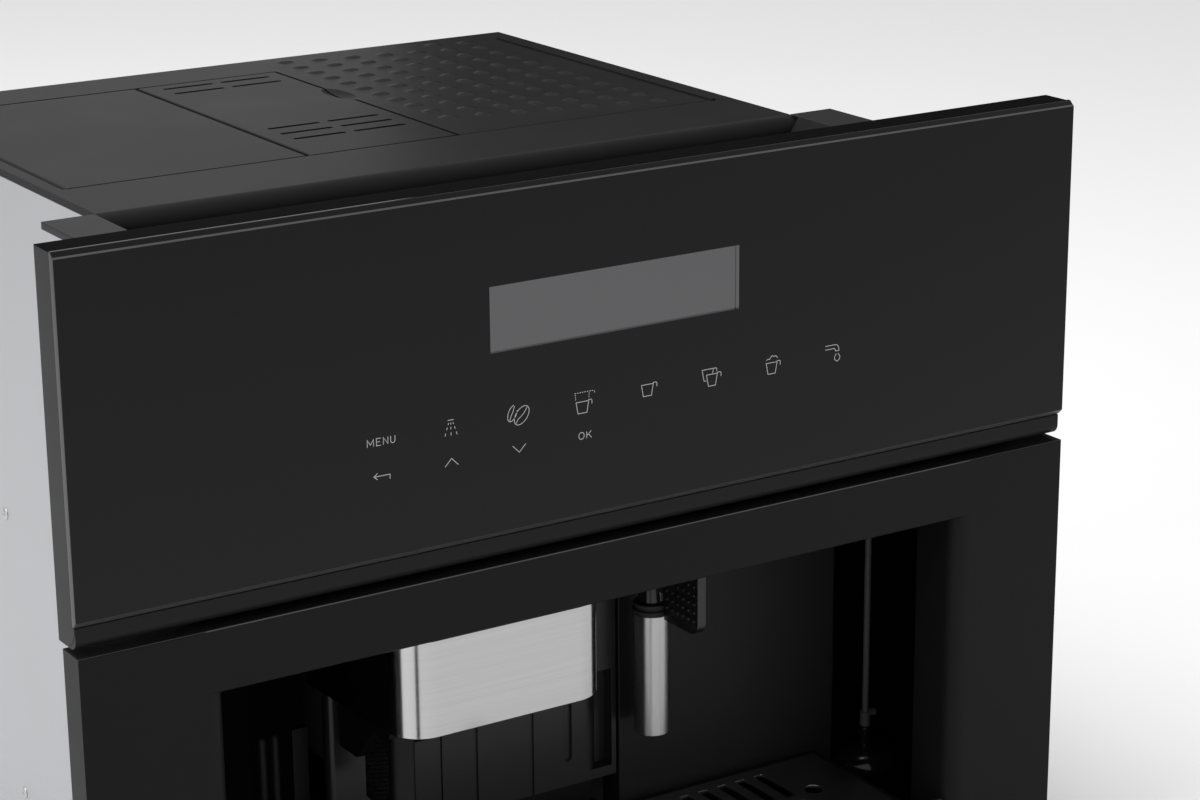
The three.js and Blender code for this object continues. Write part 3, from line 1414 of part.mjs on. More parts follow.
// A lid that turns about its left edge, which is rounded so that it clears its neighbour.
function lidPlate(left, right, ventGroups) {
  const edge = LIDS.wall / 2;
  const section = new THREE.Shape();
  // drawn as (z, x)
  section.moveTo(lidBottom, left + edge);
  section.lineTo(lidBottom, right);
  section.lineTo(chassisTop, right);
  section.lineTo(chassisTop, left + edge);
  section.absarc(lidBottom + edge, left + edge, edge, 0, -Math.PI, true);
  section.closePath();
  const plate = run("y", section, LIDS.front, LIDS.rear, 4);
  const slots = [];
  for (let group = 0; group < ventGroups; group++) {
    for (let row = 0; row < VENT.rows; row++) {
      for (let column = 0; column < VENT.columns; column++) {
        const x = VENTS.start + column * VENT.columnPitch;
        const y = VENT.first + group * VENTS.pitch + row * VENT.pitch;
        const half = VENT.width / 2;
        const slot = roundedRect(x, x + VENT.length, y - half, y + half, half - 0.01);
        slots.push(run("z", slot, lidBottom - 1, chassisTop + 1, 2));
      }
    }
  }
  return slots.length ? cut(plate, ...slots) : plate;
}
const lidHinge = lidBottom + LIDS.wall / 2;
const beanLidGroup = movingGroup(body, LIDS.left + LIDS.wall / 2, LIDS.front, lidHinge);
const beanLid = lidPlate(LIDS.left, LIDS.split - LIDS.gap / 2, 0);
add(beanLidGroup, "bean_lid", beanLid, mattGrey());
const chuteLidGroup = movingGroup(body, middleLeft + LIDS.wall / 2, LIDS.front, lidHinge);
const chuteLid = lidPlate(middleLeft, LIDS.right, VENTS.groups);
add(chuteLidGroup, "chute_lid", cut(chuteLid, fingerScoop()), mattGrey());

// ---------------------------------------------------------------- brew group, boiler, pump, electrics

const brewTop = BREW.bottom + BREW.height;
const brewX = (BREW.left + BREW.right) / 2;
const brewY = (BREW.front + BREW.rear) / 2;
const cheeks = [
  block(BREW.left, BREW.left + BREW.cheek, BREW.front, BREW.rear, BREW.bottom, brewTop),
  block(BREW.right - BREW.cheek, BREW.right, BREW.front, BREW.rear, BREW.bottom, brewTop),
];
const brewBack = block(BREW.left, BREW.right, BREW.rear - BREW.cheek, BREW.rear, BREW.bottom, brewTop);
const shelfLow = brewTop - BREW_SEAT.shelfDrop;
const brewShelf = block(BREW.left, BREW.right, BREW.front, BREW.rear - 1, shelfLow, shelfLow + BREW.cheek);
// Each cheek stands on a leg behind the grounds drawer.
const legFront = DRAWER.rear + BREW_SEAT.legGap;
const legRear = legFront + BREW.cheek;
const brewLegTop = BREW.bottom + BREW_SEAT.legTop;
const brewLegs = [BREW.left, BREW.right - BREW.cheek].flatMap((x) => [
  block(x, x + BREW.cheek, legFront, legRear, floorTop + SEAT, brewLegTop),
  block(x, x + BREW.cheek, BREW.rear - 2, legRear, BREW.bottom, brewLegTop),
]);
const cylinderTop = shelfLow - CYLINDER.below;
const cylinderLow = cylinderTop - CYLINDER.length;
const cylinderRadius = PISTON.radius + RUN;
const brewCup = pipe(
  PISTON.radius + CYLINDER.wall,
  cylinderRadius,
  cylinderLow,
  cylinderTop + CYLINDER.collar,
  brewX,
  brewY,
  28,
);
const brewWeb = block(
  BREW.left,
  BREW.right,
  brewY - CYLINDER.webReach,
  BREW.rear - 1,
  cylinderLow,
  cylinderLow + CYLINDER.web,
);
const cupBore = rod(cylinderRadius, cylinderLow - 1, brewTop, brewX, brewY, 28);
const brewFrame = join(...cheeks, brewBack, brewShelf, ...brewLegs, brewCup, brewWeb);
add(body, "brew_frame", cut(brewFrame, cupBore), mattGrey());

const pistonLow = BREW.bottom - PISTON.tail;
const piston = movingGroup(body, brewX, brewY, BREW.bottom);
const pistonTop = cylinderLow + PISTON.rest;
const headLow = pistonTop - PISTON.head;
const sealRadius = PISTON.radius - PISTON.groove;
const pistonProfile = [
  [0, pistonLow],
  [PISTON.rod, pistonLow],
  [PISTON.rod, headLow - PISTON.cone],
  [PISTON.radius, headLow],
  [PISTON.radius, headLow + PISTON.ring],
  [sealRadius, headLow + PISTON.ring],
  [sealRadius, headLow + PISTON.ring * 2],
  [PISTON.radius, headLow + PISTON.ring * 2],
  [PISTON.radius, pistonTop],
  [0, pistonTop],
];
add(piston, "brew_piston", turned(pistonProfile, brewX, brewY, 20), satinBlack());

const boilerHalf = BOILER.width / 2;
const boilerTop = BOILER.bottom + BOILER.height;
const boilerBlock = run(
  "y",
  roundedRect(BOILER.bottom, boilerTop, BOILER.x - boilerHalf, BOILER.x + boilerHalf, BOILER.edge),
  BOILER.depth,
  BOILER.depth + BOILER.length,
  4,
);
const coolingFins = [];
for (let i = 0; i < FIN.count; i++) {
  const y = BOILER.depth + BOILER.edge + i * FIN.pitch;
  coolingFins.push(
    block(
      BOILER.x - boilerHalf - FIN.reach,
      BOILER.x + boilerHalf + FIN.reach,
      y,
      y + FIN.width,
      BOILER.bottom + FIN.inset,
      boilerTop - FIN.inset,
    ),
  );
}
const boilerPorts = sides.map(([, sign]) => {
  const x = BOILER.x + (sign * PORT.pitch) / 2;
  return rod(PORT.radius, boilerTop - 2, boilerTop + PORT.height, x, BOILER.depth + PORT.depth, 12);
});
const boilerLegs = sides.map(([, sign]) => {
  const x = BOILER.x + sign * (boilerHalf - LEG.inset);
  const front = BOILER.depth + LEG.front;
  return block(
    x - LEG.width / 2,
    x + LEG.width / 2,
    front,
    front + LEG.length,
    floorTop + SEAT,
    BOILER.bottom + 2,
  );
});
add(body, "boiler", join(boilerBlock, ...coolingFins, ...boilerPorts, ...boilerLegs), steel());

const pumpZ = floorTop + SEAT + PUMP.lift + PUMP.radius;
const pumpBarrel = new THREE.CylinderGeometry(PUMP.radius, PUMP.radius, PUMP.length, 24);
pumpBarrel.translate(PUMP.x, PUMP.depth + PUMP.length / 2, pumpZ);
const pumpNose = new THREE.CylinderGeometry(PUMP.nose, PUMP.nose, PUMP.noseLength, 16);
pumpNose.translate(PUMP.x, PUMP.depth + PUMP.length + PUMP.noseLength / 2 - 1, pumpZ);
const coilFront = PUMP.depth + COIL.front;
const pumpCoil = block(
  PUMP.x - PUMP.radius - COIL.side,
  PUMP.x + PUMP.radius + COIL.side,
  coilFront,
  coilFront + COIL.length,
  pumpZ - PUMP.radius - COIL.top,
  pumpZ + PUMP.radius + COIL.top,
);
const pumpFeet = [0, PUMP_FOOT.pitch].map((offset) => {
  const front = PUMP.depth + PUMP_FOOT.front + offset;
  return block(
    PUMP.x - PUMP_FOOT.width / 2,
    PUMP.x + PUMP_FOOT.width / 2,
    front,
    front + PUMP_FOOT.length,
    floorTop + SEAT,
    pumpZ,
  );
});
add(body, "pump", join(pumpBarrel, pumpNose, pumpCoil, ...pumpFeet), satinBlack());

const powerBase = ceilingTop + POWER.standoff + SEAT;
const partLow = powerBase + POWER.board / 2;
const powerPlate = block(
  POWER.x - POWER.width / 2,
  POWER.x + POWER.width / 2,
  POWER.front,
  POWER.front + POWER.length,
  powerBase,
  powerBase + POWER.board,
);
const powerBlocks = POWER_BLOCKS.map(([left, right, front, back, height]) =>
  block(
    POWER.x + left,
    POWER.x + right,
    POWER.front + front,
    POWER.front + back,
    partLow,
    powerBase + height,
  ),
);
const capacitors = CAPACITOR.x.map((offset) => {
  const y = POWER.front + CAPACITOR.depth;
  return rod(CAPACITOR.radius, partLow, powerBase + CAPACITOR.height, POWER.x + offset, y, 16);
});
add(body, "power_board", join(powerPlate, ...powerBlocks, ...capacitors), boardGreen());

const inletRear = CHASSIS.rear + INLET.flange;
const inletLeft = INLET.x - INLET.length / 2;
const inletRight = INLET.x + INLET.length / 2 + INLET.switchOffset;
const moduleBody = block(
  inletLeft + SEAT,
  inletRight - SEAT,
  CHASSIS.rear - INLET.body,
  inletRear,
  INLET.height - inletHalf + SEAT,
  INLET.height + inletHalf - SEAT,
);
const moduleFlange = block(
  inletLeft - INLET.rim,
  inletRight + INLET.rim,
  CHASSIS.rear + SEAT,
  inletRear,
  INLET.height - inletHalf - INLET.rim,
  INLET.height + inletHalf + INLET.rim,
);
const socketWell = run(
  "y",
  roundedRect(
    INLET.height - WELL.height / 2,
    INLET.height + WELL.height / 2,
    INLET.x - WELL.width / 2,
    INLET.x + WELL.width / 2,
    WELL.edge,
  ),
  CHASSIS.rear - WELL.depth,
  inletRear + 1,
  3,
);
const bladeRear = CHASSIS.rear - BLADE.below;
const blades = [-BLADE.pitch, 0, BLADE.pitch].map((offset) =>
  block(
    INLET.x + offset - BLADE.width / 2,
    INLET.x + offset + BLADE.width / 2,
    bladeRear - BLADE.length,
    bladeRear,
    INLET.height - BLADE.height / 2,
    INLET.height + BLADE.height / 2,
  ),
);
const rockerX = INLET.x + INLET.length / 2 + INLET.switchOffset / 2;
const rockerSlot = block(
  rockerX - ROCKER.width / 2 - RUN,
  rockerX + ROCKER.width / 2 + RUN,
  CHASSIS.rear - ROCKER.slot,
  inletRear + 1,
  INLET.height - ROCKER.length / 2 - RUN,
  INLET.height + ROCKER.length / 2 + RUN,
);
const inletModule = join(cut(join(moduleBody, moduleFlange), socketWell, rockerSlot), ...blades);
add(body, "mains_inlet", inletModule, satinBlack());

const rockerAxisY = CHASSIS.rear - ROCKER.axis;
const rockerGroup = movingGroup(body, rockerX, rockerAxisY, INLET.height);
const rockerReach = ROCKER.length / 2 - ROCKER.nose;
const rockerShape = polygon([
  [inletRear - ROCKER.crown, INLET.height],
  [inletRear - ROCKER.heel, INLET.height + rockerReach],
  [rockerAxisY - ROCKER.root, INLET.height + ROCKER.root],
  [rockerAxisY - ROCKER.root, INLET.height - ROCKER.root],
  [inletRear - ROCKER.heel, INLET.height - rockerReach],
]);
const rocker = run("x", rockerShape, rockerX - ROCKER.width / 2, rockerX + ROCKER.width / 2);
add(rockerGroup, "rocker_switch", rocker, redPlastic());

// ---------------------------------------------------------------- water tank at the side

const tank = movingGroup(body, TANK.left, TANK.front, floorTop);
const tankBottom = floorTop + SEAT;
const tankTop = tankBottom + TANK.height;
const tankOuter = run(
  "z",
  roundedRect(TANK.left, TANK.right, TANK.front, TANK.rear, TANK.edge),
  tankBottom,
  tankTop,
  4,
);
const tankInner = run(
  "z",
  roundedRect(
    TANK.left + TANK.wall,
    TANK.right - TANK.wall,
    TANK.front + TANK.wall,
    TANK.rear - TANK.wall,
    TANK.edge - TANK.wall,
  ),
  tankBottom + TANK.wall,
  tankTop + 1,
  4,
);
add(tank, "water_tank", cut(tankOuter, tankInner), smoked());

const lidGroup = movingGroup(tank, TANK.right, TANK.front, tankTop);
const lidRim = TANK.wall + SEAT;
const tankLid = join(
  run(
    "z",
    roundedRect(TANK.left, TANK.right, TANK.front, TANK.rear, TANK.edge),
    tankTop + SEAT,
    tankTop + TANK.lid,
    4,
  ),
  run(
    "z",
    roundedRect(
      TANK.left + lidRim,
      TANK.right - lidRim,
      TANK.front + lidRim,
      TANK.rear - lidRim,
      TANK.edge - lidRim,
    ),
    tankTop - 4,
    tankTop + SEAT + 1,
    4,
  ),
);
const tankMiddle = (TANK.front + TANK.rear) / 2;
const tankMidX = (TANK.left + TANK.right) / 2;
const bailZ = tankTop + TANK.lid + BAIL.rod + BAIL.lift;
const bailSeats = sides.map(([, sign]) => {
  const y = tankMiddle + (sign * (BAIL.span + EAR.wall)) / 2;
  return block(
    tankMidX - EAR.half,
    tankMidX + EAR.half,
    y - EAR.wall / 2,
    y + EAR.wall / 2,
    tankTop + TANK.lid - 1,
    bailZ + BAIL.rod + EAR.rise,
  );
});
const bailPin = BAIL.rod / 2;
const boreLength = BAIL.span + EAR.wall * 4;
const bailBore = new THREE.CylinderGeometry(bailPin + SEAT, bailPin + SEAT, boreLength, 12);
bailBore.translate(tankMidX, tankMiddle, bailZ);
add(lidGroup, "tank_lid", cut(join(tankLid, ...bailSeats), bailBore), satinBlack());

const bail = movingGroup(lidGroup, tankMidX, tankMiddle, bailZ);
const bailPins = sides.map(([, sign]) => {
  const pin = new THREE.CylinderGeometry(bailPin, bailPin, BAIL.pin, 12);
  return pin.translate(tankMidX, tankMiddle + sign * (BAIL.span / 2 + 1), bailZ);
});
const armOuter = BAIL.span / 2 - 1;
const bailArms = sides.map(([, sign]) => {
  const outer = tankMiddle + sign * armOuter;
  const inner = outer - sign * BAIL.arm;
  const arm = roundedRect(
    bailZ - BAIL.rod,
    bailZ + BAIL.rod,
    tankMidX - BAIL.reach,
    tankMidX + BAIL.rod,
    BAIL.rod - 0.01,
  );
  return run("y", arm, Math.min(inner, outer), Math.max(inner, outer), 4);
});
const bailBar = block(
  tankMidX - BAIL.reach,
  tankMidX - BAIL.reach + BAIL.bar,
  tankMiddle - armOuter,
  tankMiddle + armOuter,
  bailZ - BAIL.rod,
  bailZ + BAIL.rod,
);
add(bail, "tank_bail", join(...bailPins, ...bailArms, bailBar), satinBlack());

export default machineFrame;
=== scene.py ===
"""Dresses a built-in coffee machine: finishes, printed symbols, dotted deck and studio.

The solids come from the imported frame. Places are given in mm right of the machine's middle, behind the face
of the glass (the depth) and above the floor, and row() turns them into metres of the frame."""

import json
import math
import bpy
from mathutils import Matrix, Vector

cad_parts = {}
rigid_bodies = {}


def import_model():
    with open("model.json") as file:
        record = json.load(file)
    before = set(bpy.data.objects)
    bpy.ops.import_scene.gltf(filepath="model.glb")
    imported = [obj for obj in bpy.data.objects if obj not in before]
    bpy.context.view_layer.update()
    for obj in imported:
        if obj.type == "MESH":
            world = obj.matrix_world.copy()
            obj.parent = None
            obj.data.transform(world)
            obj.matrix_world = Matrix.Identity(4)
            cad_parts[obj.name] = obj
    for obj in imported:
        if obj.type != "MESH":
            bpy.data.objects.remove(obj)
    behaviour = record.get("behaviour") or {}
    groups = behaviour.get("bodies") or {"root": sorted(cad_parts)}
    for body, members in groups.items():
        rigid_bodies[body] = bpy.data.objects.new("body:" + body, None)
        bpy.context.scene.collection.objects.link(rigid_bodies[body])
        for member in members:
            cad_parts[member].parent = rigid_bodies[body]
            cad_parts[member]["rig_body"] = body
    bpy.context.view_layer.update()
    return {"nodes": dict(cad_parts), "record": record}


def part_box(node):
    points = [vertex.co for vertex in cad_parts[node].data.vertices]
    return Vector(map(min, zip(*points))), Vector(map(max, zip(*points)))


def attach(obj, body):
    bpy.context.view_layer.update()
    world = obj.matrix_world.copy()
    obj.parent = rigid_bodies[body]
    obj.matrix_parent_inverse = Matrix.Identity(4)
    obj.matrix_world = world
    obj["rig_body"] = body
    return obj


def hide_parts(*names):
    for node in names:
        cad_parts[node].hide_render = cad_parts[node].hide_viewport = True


bl_info = {
    "name": "Built-in Coffee Machine Dresser",
    "version": (1, 0, 0),
    "blender": (4, 5, 0),
    "location": "View3D > Sidebar > Coffee Machine",
    "description": "Dresses the solids of a built-in coffee machine with finishes, symbols and fasteners",
    "category": "Object",
}

import bmesh
import bpy
import numpy as np
from mathutils import Matrix, Vector

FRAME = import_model()
RECORD_SLOT = {part["node"]: part["material_slot"] for part in FRAME["record"]["subparts"]}

MM = 0.001
HALF_DEPTH = 237.5  # mm from the glass face to the middle of the machine
DECK_TOP = 432.4  # mm from the floor to the top of the deck
SHEET_LIFT = 0.03 * MM  # how far a dotted sheet or a painted-shade strip in a seam stands on the solid under it


def row(x, depth, z):
    """A place given in mm right of the middle, behind the glass face and above the floor, in metres."""
    return np.stack(np.broadcast_arrays(x, np.subtract(depth, HALF_DEPTH), z), axis=-1) * MM


# ------------------------------------------------------------------ settings


class GlassSettings(bpy.types.PropertyGroup):
    line: bpy.props.FloatProperty(
        name="Line width", description="Width of a printed line", default=0.36 * MM, unit="LENGTH")
    proud: bpy.props.FloatProperty(
        name="Print thickness", description="How far the print stands on the glass",
        default=0.03 * MM, unit="LENGTH")
    row_high: bpy.props.FloatProperty(
        name="Upper row", description="Height of the upper row of symbols",
        default=338.4 * MM, unit="LENGTH")
    row_low: bpy.props.FloatProperty(
        name="Lower row", description="Height of the lower row of symbols",
        default=320.7 * MM, unit="LENGTH")
    pitch: bpy.props.FloatProperty(
        name="Key pitch", description="Distance between two keys",
        default=38.75 * MM, unit="LENGTH")
    print_colour: bpy.props.FloatVectorProperty(
        name="Print colour", description="Colour of the printed symbols", subtype="COLOR", size=3,
        default=(0.40, 0.40, 0.41))
    display_colour: bpy.props.FloatVectorProperty(
        name="Display colour", description="Colour of the dark display", subtype="COLOR", size=3,
        default=(0.098, 0.098, 0.101))


class DotSettings(bpy.types.PropertyGroup):
    deck_radius: bpy.props.FloatProperty(
        name="Deck dot radius", description="Radius of a dot on the deck",
        default=5.0 * MM, unit="LENGTH")
    deck_height: bpy.props.FloatProperty(
        name="Deck dot height", description="Height of a dot on the deck",
        default=1.1 * MM, unit="LENGTH")
    tab_radius: bpy.props.FloatProperty(
        name="Tab dot radius", description="Radius of a dot on the wand tab",
        default=1.35 * MM, unit="LENGTH")
    tab_height: bpy.props.FloatProperty(
        name="Tab dot height", description="Height of a dot on the wand tab",
        default=1.0 * MM, unit="LENGTH")
    handle_radius: bpy.props.FloatProperty(
        name="Handle dot radius", description="Radius of a dot on the spout handle",
        default=1.0 * MM, unit="LENGTH")
    handle_height: bpy.props.FloatProperty(
        name="Handle dot height", description="Height of a dot on the spout handle",
        default=0.7 * MM, unit="LENGTH")


class FinishSettings(bpy.types.PropertyGroup):
    black: bpy.props.FloatVectorProperty(
        name="Black plastic", description="Colour of the satin black plastic", subtype="COLOR", size=3,
        default=(0.0030, 0.0030, 0.0031))
    gloss: bpy.props.FloatVectorProperty(
        name="Gloss plastic", description="Colour of the gloss black plastic", subtype="COLOR", size=3,
        default=(0.0055, 0.0055, 0.0057))
    grey: bpy.props.FloatVectorProperty(
        name="Deck plastic", description="Colour of the dark grey deck", subtype="COLOR", size=3,
        default=(0.0112, 0.0110, 0.0112))
    steel: bpy.props.FloatVectorProperty(
        name="Steel", description="Colour of the brushed steel", subtype="COLOR", size=3,
        default=(0.44, 0.44, 0.437))
    zinc: bpy.props.FloatVectorProperty(
        name="Coated sheet", description="Colour of the coated chassis sheet", subtype="COLOR", size=3,
        default=(0.36, 0.37, 0.38))
    edge: bpy.props.FloatProperty(
        name="Edge rounding", description="Radius of a moulded or folded edge",
        default=0.45 * MM, unit="LENGTH")


class StageSettings(bpy.types.PropertyGroup):
    floor: bpy.props.FloatVectorProperty(
        name="Floor colour", description="Colour of the floor", subtype="COLOR", size=3,
        default=(0.835, 0.83, 0.835))
    key: bpy.props.FloatProperty(
        name="Key lamp", description="Power of the large lamp above", default=46.0, unit="POWER")
    fill: bpy.props.FloatProperty(
        name="Side lamp", description="Power of the lamp at the left", default=18.0, unit="POWER")
    sky: bpy.props.FloatProperty(
        name="Room light", description="Strength of the even light of the room", default=0.92)


# ------------------------------------------------------------------ meshes from arrays


def grid_faces(rows, columns, wrap=False):
    """Quads of a grid with that many points each way; wrap joins the last column to the first."""
    across = columns if wrap else columns - 1
    r, c = np.meshgrid(np.arange(rows - 1), np.arange(across), indexing="ij")
    after = (c + 1) % columns
    here, above = r * columns, (r + 1) * columns
    return np.stack([here + c, here + after, above + after, above + c], axis=-1).reshape(-1, 4)


def mesh_object(name, points, faces, smooth=True):
    """One object at the origin from an (n, 3) array of points in metres and a list or array of faces."""
    points = np.asarray(points, float).reshape(-1, 3).tolist()
    mesh = bpy.data.meshes.new(name)
    mesh.from_pydata(points, [], [list(map(int, face)) for face in faces])
    mesh.validate()
    if smooth:
        mesh.shade_smooth()
    piece = bpy.data.objects.new(name, mesh)
    bpy.context.scene.collection.objects.link(piece)
    return piece


def looking(piece, out):
    """Turns an open sheet over if its first face looks away from out."""
    if piece.data.polygons[0].normal @ Vector(out) < 0:
        piece.data.flip_normals()
    return piece


DOUBLED = 1e-7  # metres within which two points of a made surface count as one


def facing_out(piece):
    """Merges doubled points and turns every face outwards."""
    build = bmesh.new()
    build.from_mesh(piece.data)
    bmesh.ops.remove_doubles(build, verts=build.verts, dist=DOUBLED)
    bmesh.ops.recalc_face_normals(build, faces=build.faces)
    build.to_mesh(piece.data)
    build.free()
    return piece


def joined(parts):
    """Stacks (points, faces) pairs into one pair."""
    points, faces, count = [], [], 0
    for part_points, part_faces in parts:
        part_points = np.asarray(part_points, float).reshape(-1, 3)
        points.append(part_points)
        faces.extend([[int(i) + count for i in face] for face in part_faces])
        count += len(part_points)
    return np.concatenate(points), faces


SHARPEST = 0.5  # least cosine of half a turn that a bar follows, so a sharp corner grows no spike


def bar_along(path, width, low, high, closed=False):
    """A flat bar along a path of (right, up) points: its section is width wide and runs from low to high.

    Each point is moved sideways by half the width, divided by the cosine of half the turn there, so the
    bar keeps its width round a corner. Points come back as (right, up, out)."""
    path = np.asarray(path, float)
    ahead = np.roll(path, -1, axis=0) - path
    if not closed:
        ahead[-1] = ahead[-2]
    ahead /= np.linalg.norm(ahead, axis=1, keepdims=True)
    behind = np.roll(ahead, 1, axis=0)
    if not closed:
        behind[0] = ahead[0]
    turn = ahead + behind
    turn /= np.linalg.norm(turn, axis=1, keepdims=True)
    side = np.stack([-turn[:, 1], turn[:, 0]], axis=1)
    reach = width / 2 / np.maximum(np.sum(turn * ahead, axis=1, keepdims=True), SHARPEST)
    left, right = path + side * reach, path - side * reach
    corners = [(left, low), (left, high), (right, high), (right, low)]
    points = np.stack([np.column_stack([edge, np.full(len(path), out)]) for edge, out in corners], axis=1)
    if closed:
        points = np.concatenate([points, points[:1]])
    count = len(points)
    faces = grid_faces(count, len(corners), wrap=True).tolist()
    if not closed:
        last = (count - 1) * len(corners)
        faces += [[3, 2, 1, 0], [last, last + 1, last + 2, last + 3]]
    return points.reshape(-1, 3), faces


def ellipse(centre, radii, tilt=0.0, start=0.0, end=360.0, count=28):
    """Points of an ellipse: its two radii times the cosine and sine of the angle, turned by tilt."""
    angle = np.radians(np.linspace(start, end, count))
    u, v = radii[0] * np.cos(angle), radii[1] * np.sin(angle)
    c, s = math.cos(math.radians(tilt)), math.sin(math.radians(tilt))
    return np.column_stack([centre[0] + u * c - v * s, centre[1] + u * s + v * c])


# the mesh of a dotted sheet
DOT_STEPS = 3.2  # least number of steps in the radius of a dot
COARSEST_STEP = 1.1 * MM  # longest step
FEWEST_POINTS = 8  # along a side


def dotted_sheet(name, corner, along, across, size, lattice, dome, body, finish, patch=False):
    """A sheet with domes: height is (1 - (distance to the nearest dot / radius) squared) to a power, times
    the dome height, where positive. A lower power makes a steeper rim; dome is (radius, height, power).

    corner is a point in metres; along and across are unit vectors; size is (length, width) in metres.
    lattice is (first along, first across, pitch along, pitch across, slant) in mm. With a negative slant
    each column of dots starts that much further across than the column before, and with a positive one
    every second column does. A patch keeps only the dots inside the sheet's own ellipse."""
    first_u, first_v, pitch_u, pitch_v, slant = (value * MM for value in lattice)
    radius, height, power = dome
    step = min(radius / DOT_STEPS, COARSEST_STEP)
    u, v = (np.linspace(0, side, max(FEWEST_POINTS, int(side / step))) for side in size)
    uu, vv = np.meshgrid(u, v, indexing="ij")
    column = np.round((uu - first_u) / pitch_u)
    start = first_v + (column * slant if slant < 0 else (column % 2) * slant)
    line = np.round((vv - start) / pitch_v)
    dot_u, dot_v = first_u + column * pitch_u, start + line * pitch_v
    inside = (line >= 0) & (dot_u > radius) & (dot_u < size[0] - radius) & (dot_v > radius)
    inside &= dot_v < size[1] - radius
    if patch:
        inside &= np.hypot(dot_u / size[0] - 0.5, dot_v / size[1] - 0.5) < 0.5
    away = np.hypot(uu - dot_u, vv - dot_v) / radius
    rise = np.where(inside, np.clip(1 - away ** 2, 0, 1) ** power, 0.0) * height + SHEET_LIFT
    along, across = np.asarray(along, float), np.asarray(across, float)
    out = np.cross(along, across)
    sheet = np.asarray(corner, float) + uu[..., None] * along + vv[..., None] * across
    sheet = sheet + rise[..., None] * out
    dress(looking(mesh_object(name, sheet, grid_faces(*uu.shape)[:, ::-1]), out), finish, body)


def moulding(name, profile, start, end, finish, lengthwise=False):
    """A closed profile carried along a straight line, with flat ends, on the machine. The profile holds
    (depth, height) points for a moulding from left to right, or (right, height) points for one that runs
    from front to back; all numbers are in mm."""
    across, high = np.asarray(profile, float).T
    ends = [row(across, place, high) if lengthwise else row(place, across, high) for place in (start, end)]
    count = len(high)
    faces = grid_faces(2, count, wrap=True).tolist() + [list(range(count)), list(range(count, 2 * count))]
    piece = facing_out(mesh_object(name, np.concatenate(ends), faces, smooth=False))
    dress(piece, finish, "machine")


SCREW_RADIUS, SCREW_HEIGHT = 3.4 * MM, 1.6 * MM
SCREW_BOW = 1.25  # radians of the cosine at the rim of a head
CROSS_REACH, CROSS_DEPTH = 0.55, 0.55  # of the cross in a head, in parts of its radius and height
CROSS_TAPER, CROSS_ARM = 2.2, 0.45  # how fast an arm narrows, and its scale in parts of the radius


def screw_heads(name, places, outward, finish):
    """Pan heads with a cross recess, on the machine. The surface is round: its height falls as the cosine
    of the distance from the middle, less a cross that fades with that distance and beside its arms."""
    rings, spokes = 9, 32
    r = np.linspace(0, 1, rings)[:, None]
    a = np.linspace(0, 2 * np.pi, spokes, endpoint=False)[None, :]
    cross = np.clip(1 - np.abs(np.sin(2 * a)) * CROSS_TAPER * r / CROSS_ARM, 0, 1) * (r < CROSS_REACH)
    dome = SCREW_HEIGHT * (np.cos(r * SCREW_BOW) - CROSS_DEPTH * cross)
    u, v = SCREW_RADIUS * r * np.cos(a), SCREW_RADIUS * r * np.sin(a)
    out = np.asarray(outward, float)
    first = np.cross(out, (0.0, 0.0, 1.0))
    first /= np.linalg.norm(first)
    second = np.cross(out, first)
    head = u[..., None] * first + v[..., None] * second + dome[..., None] * out
    skirt = head[-1] - out * SCREW_HEIGHT * np.cos(SCREW_BOW)
    shell = np.concatenate([head, skirt[None]])
    faces = grid_faces(rings + 1, spokes, wrap=True)
    parts = [(shell + np.asarray(place), faces) for place in places]
    dress(facing_out(mesh_object(name, *joined(parts))), finish, "machine")


# ------------------------------------------------------------------ pieces from the solids


def dress(piece, finish, body):
    """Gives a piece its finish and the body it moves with."""
    piece.data.materials.clear()
    piece.data.materials.append(finish)
    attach(piece, body)


def surface_area(build):
    """Area of a mesh once its faces are cut into triangles."""
    cut = build.copy()
    bmesh.ops.triangulate(cut, faces=cut.faces)
    area = sum(face.calc_area() for face in cut.faces)
    cut.free()
    return area


def finished_area(piece):
    """Area of a piece with its modifiers applied, which shows a face that has closed over a slot."""
    seen = piece.evaluated_get(bpy.context.evaluated_depsgraph_get())
    build = bmesh.new()
    build.from_mesh(seen.to_mesh())
    area = surface_area(build)
    build.free()
    seen.to_mesh_clear()
    return area


WELD = 2e-6  # metres within which a solid's loose points are merged
FLAT_ANGLE = math.radians(0.3)  # below it two faces count as one flat face
ROUNDED_ANGLE = math.radians(34)  # above it an edge is rounded
AREA_GAIN = 1.001  # more area than this times the solid's own means that a face has closed over a slot


def rounded_copy(node, build, radius, segments):
    """An object of a cleaned mesh with rounded edges and even shading."""
    mesh = bpy.data.meshes.new(node + "_softened")
    build.to_mesh(mesh)
    for layer in ("custom_normal", "sharp_face", "sharp_edge"):
        if layer in mesh.attributes:
            mesh.attributes.remove(mesh.attributes[layer])
    mesh.shade_smooth()
    piece = bpy.data.objects.new(node + "_softened", mesh)
    bpy.context.scene.collection.objects.link(piece)
    rounding = piece.modifiers.new("edge_rounding", "BEVEL")
    rounding.width = radius
    rounding.segments = segments
    rounding.limit_method = "ANGLE"
    rounding.angle_limit = ROUNDED_ANGLE
    rounding.use_clamp_overlap = True
    rounding.miter_outer = "MITER_ARC"
    shading = piece.modifiers.new("even_shading", "WEIGHTED_NORMAL")
    shading.keep_sharp = True
    return piece


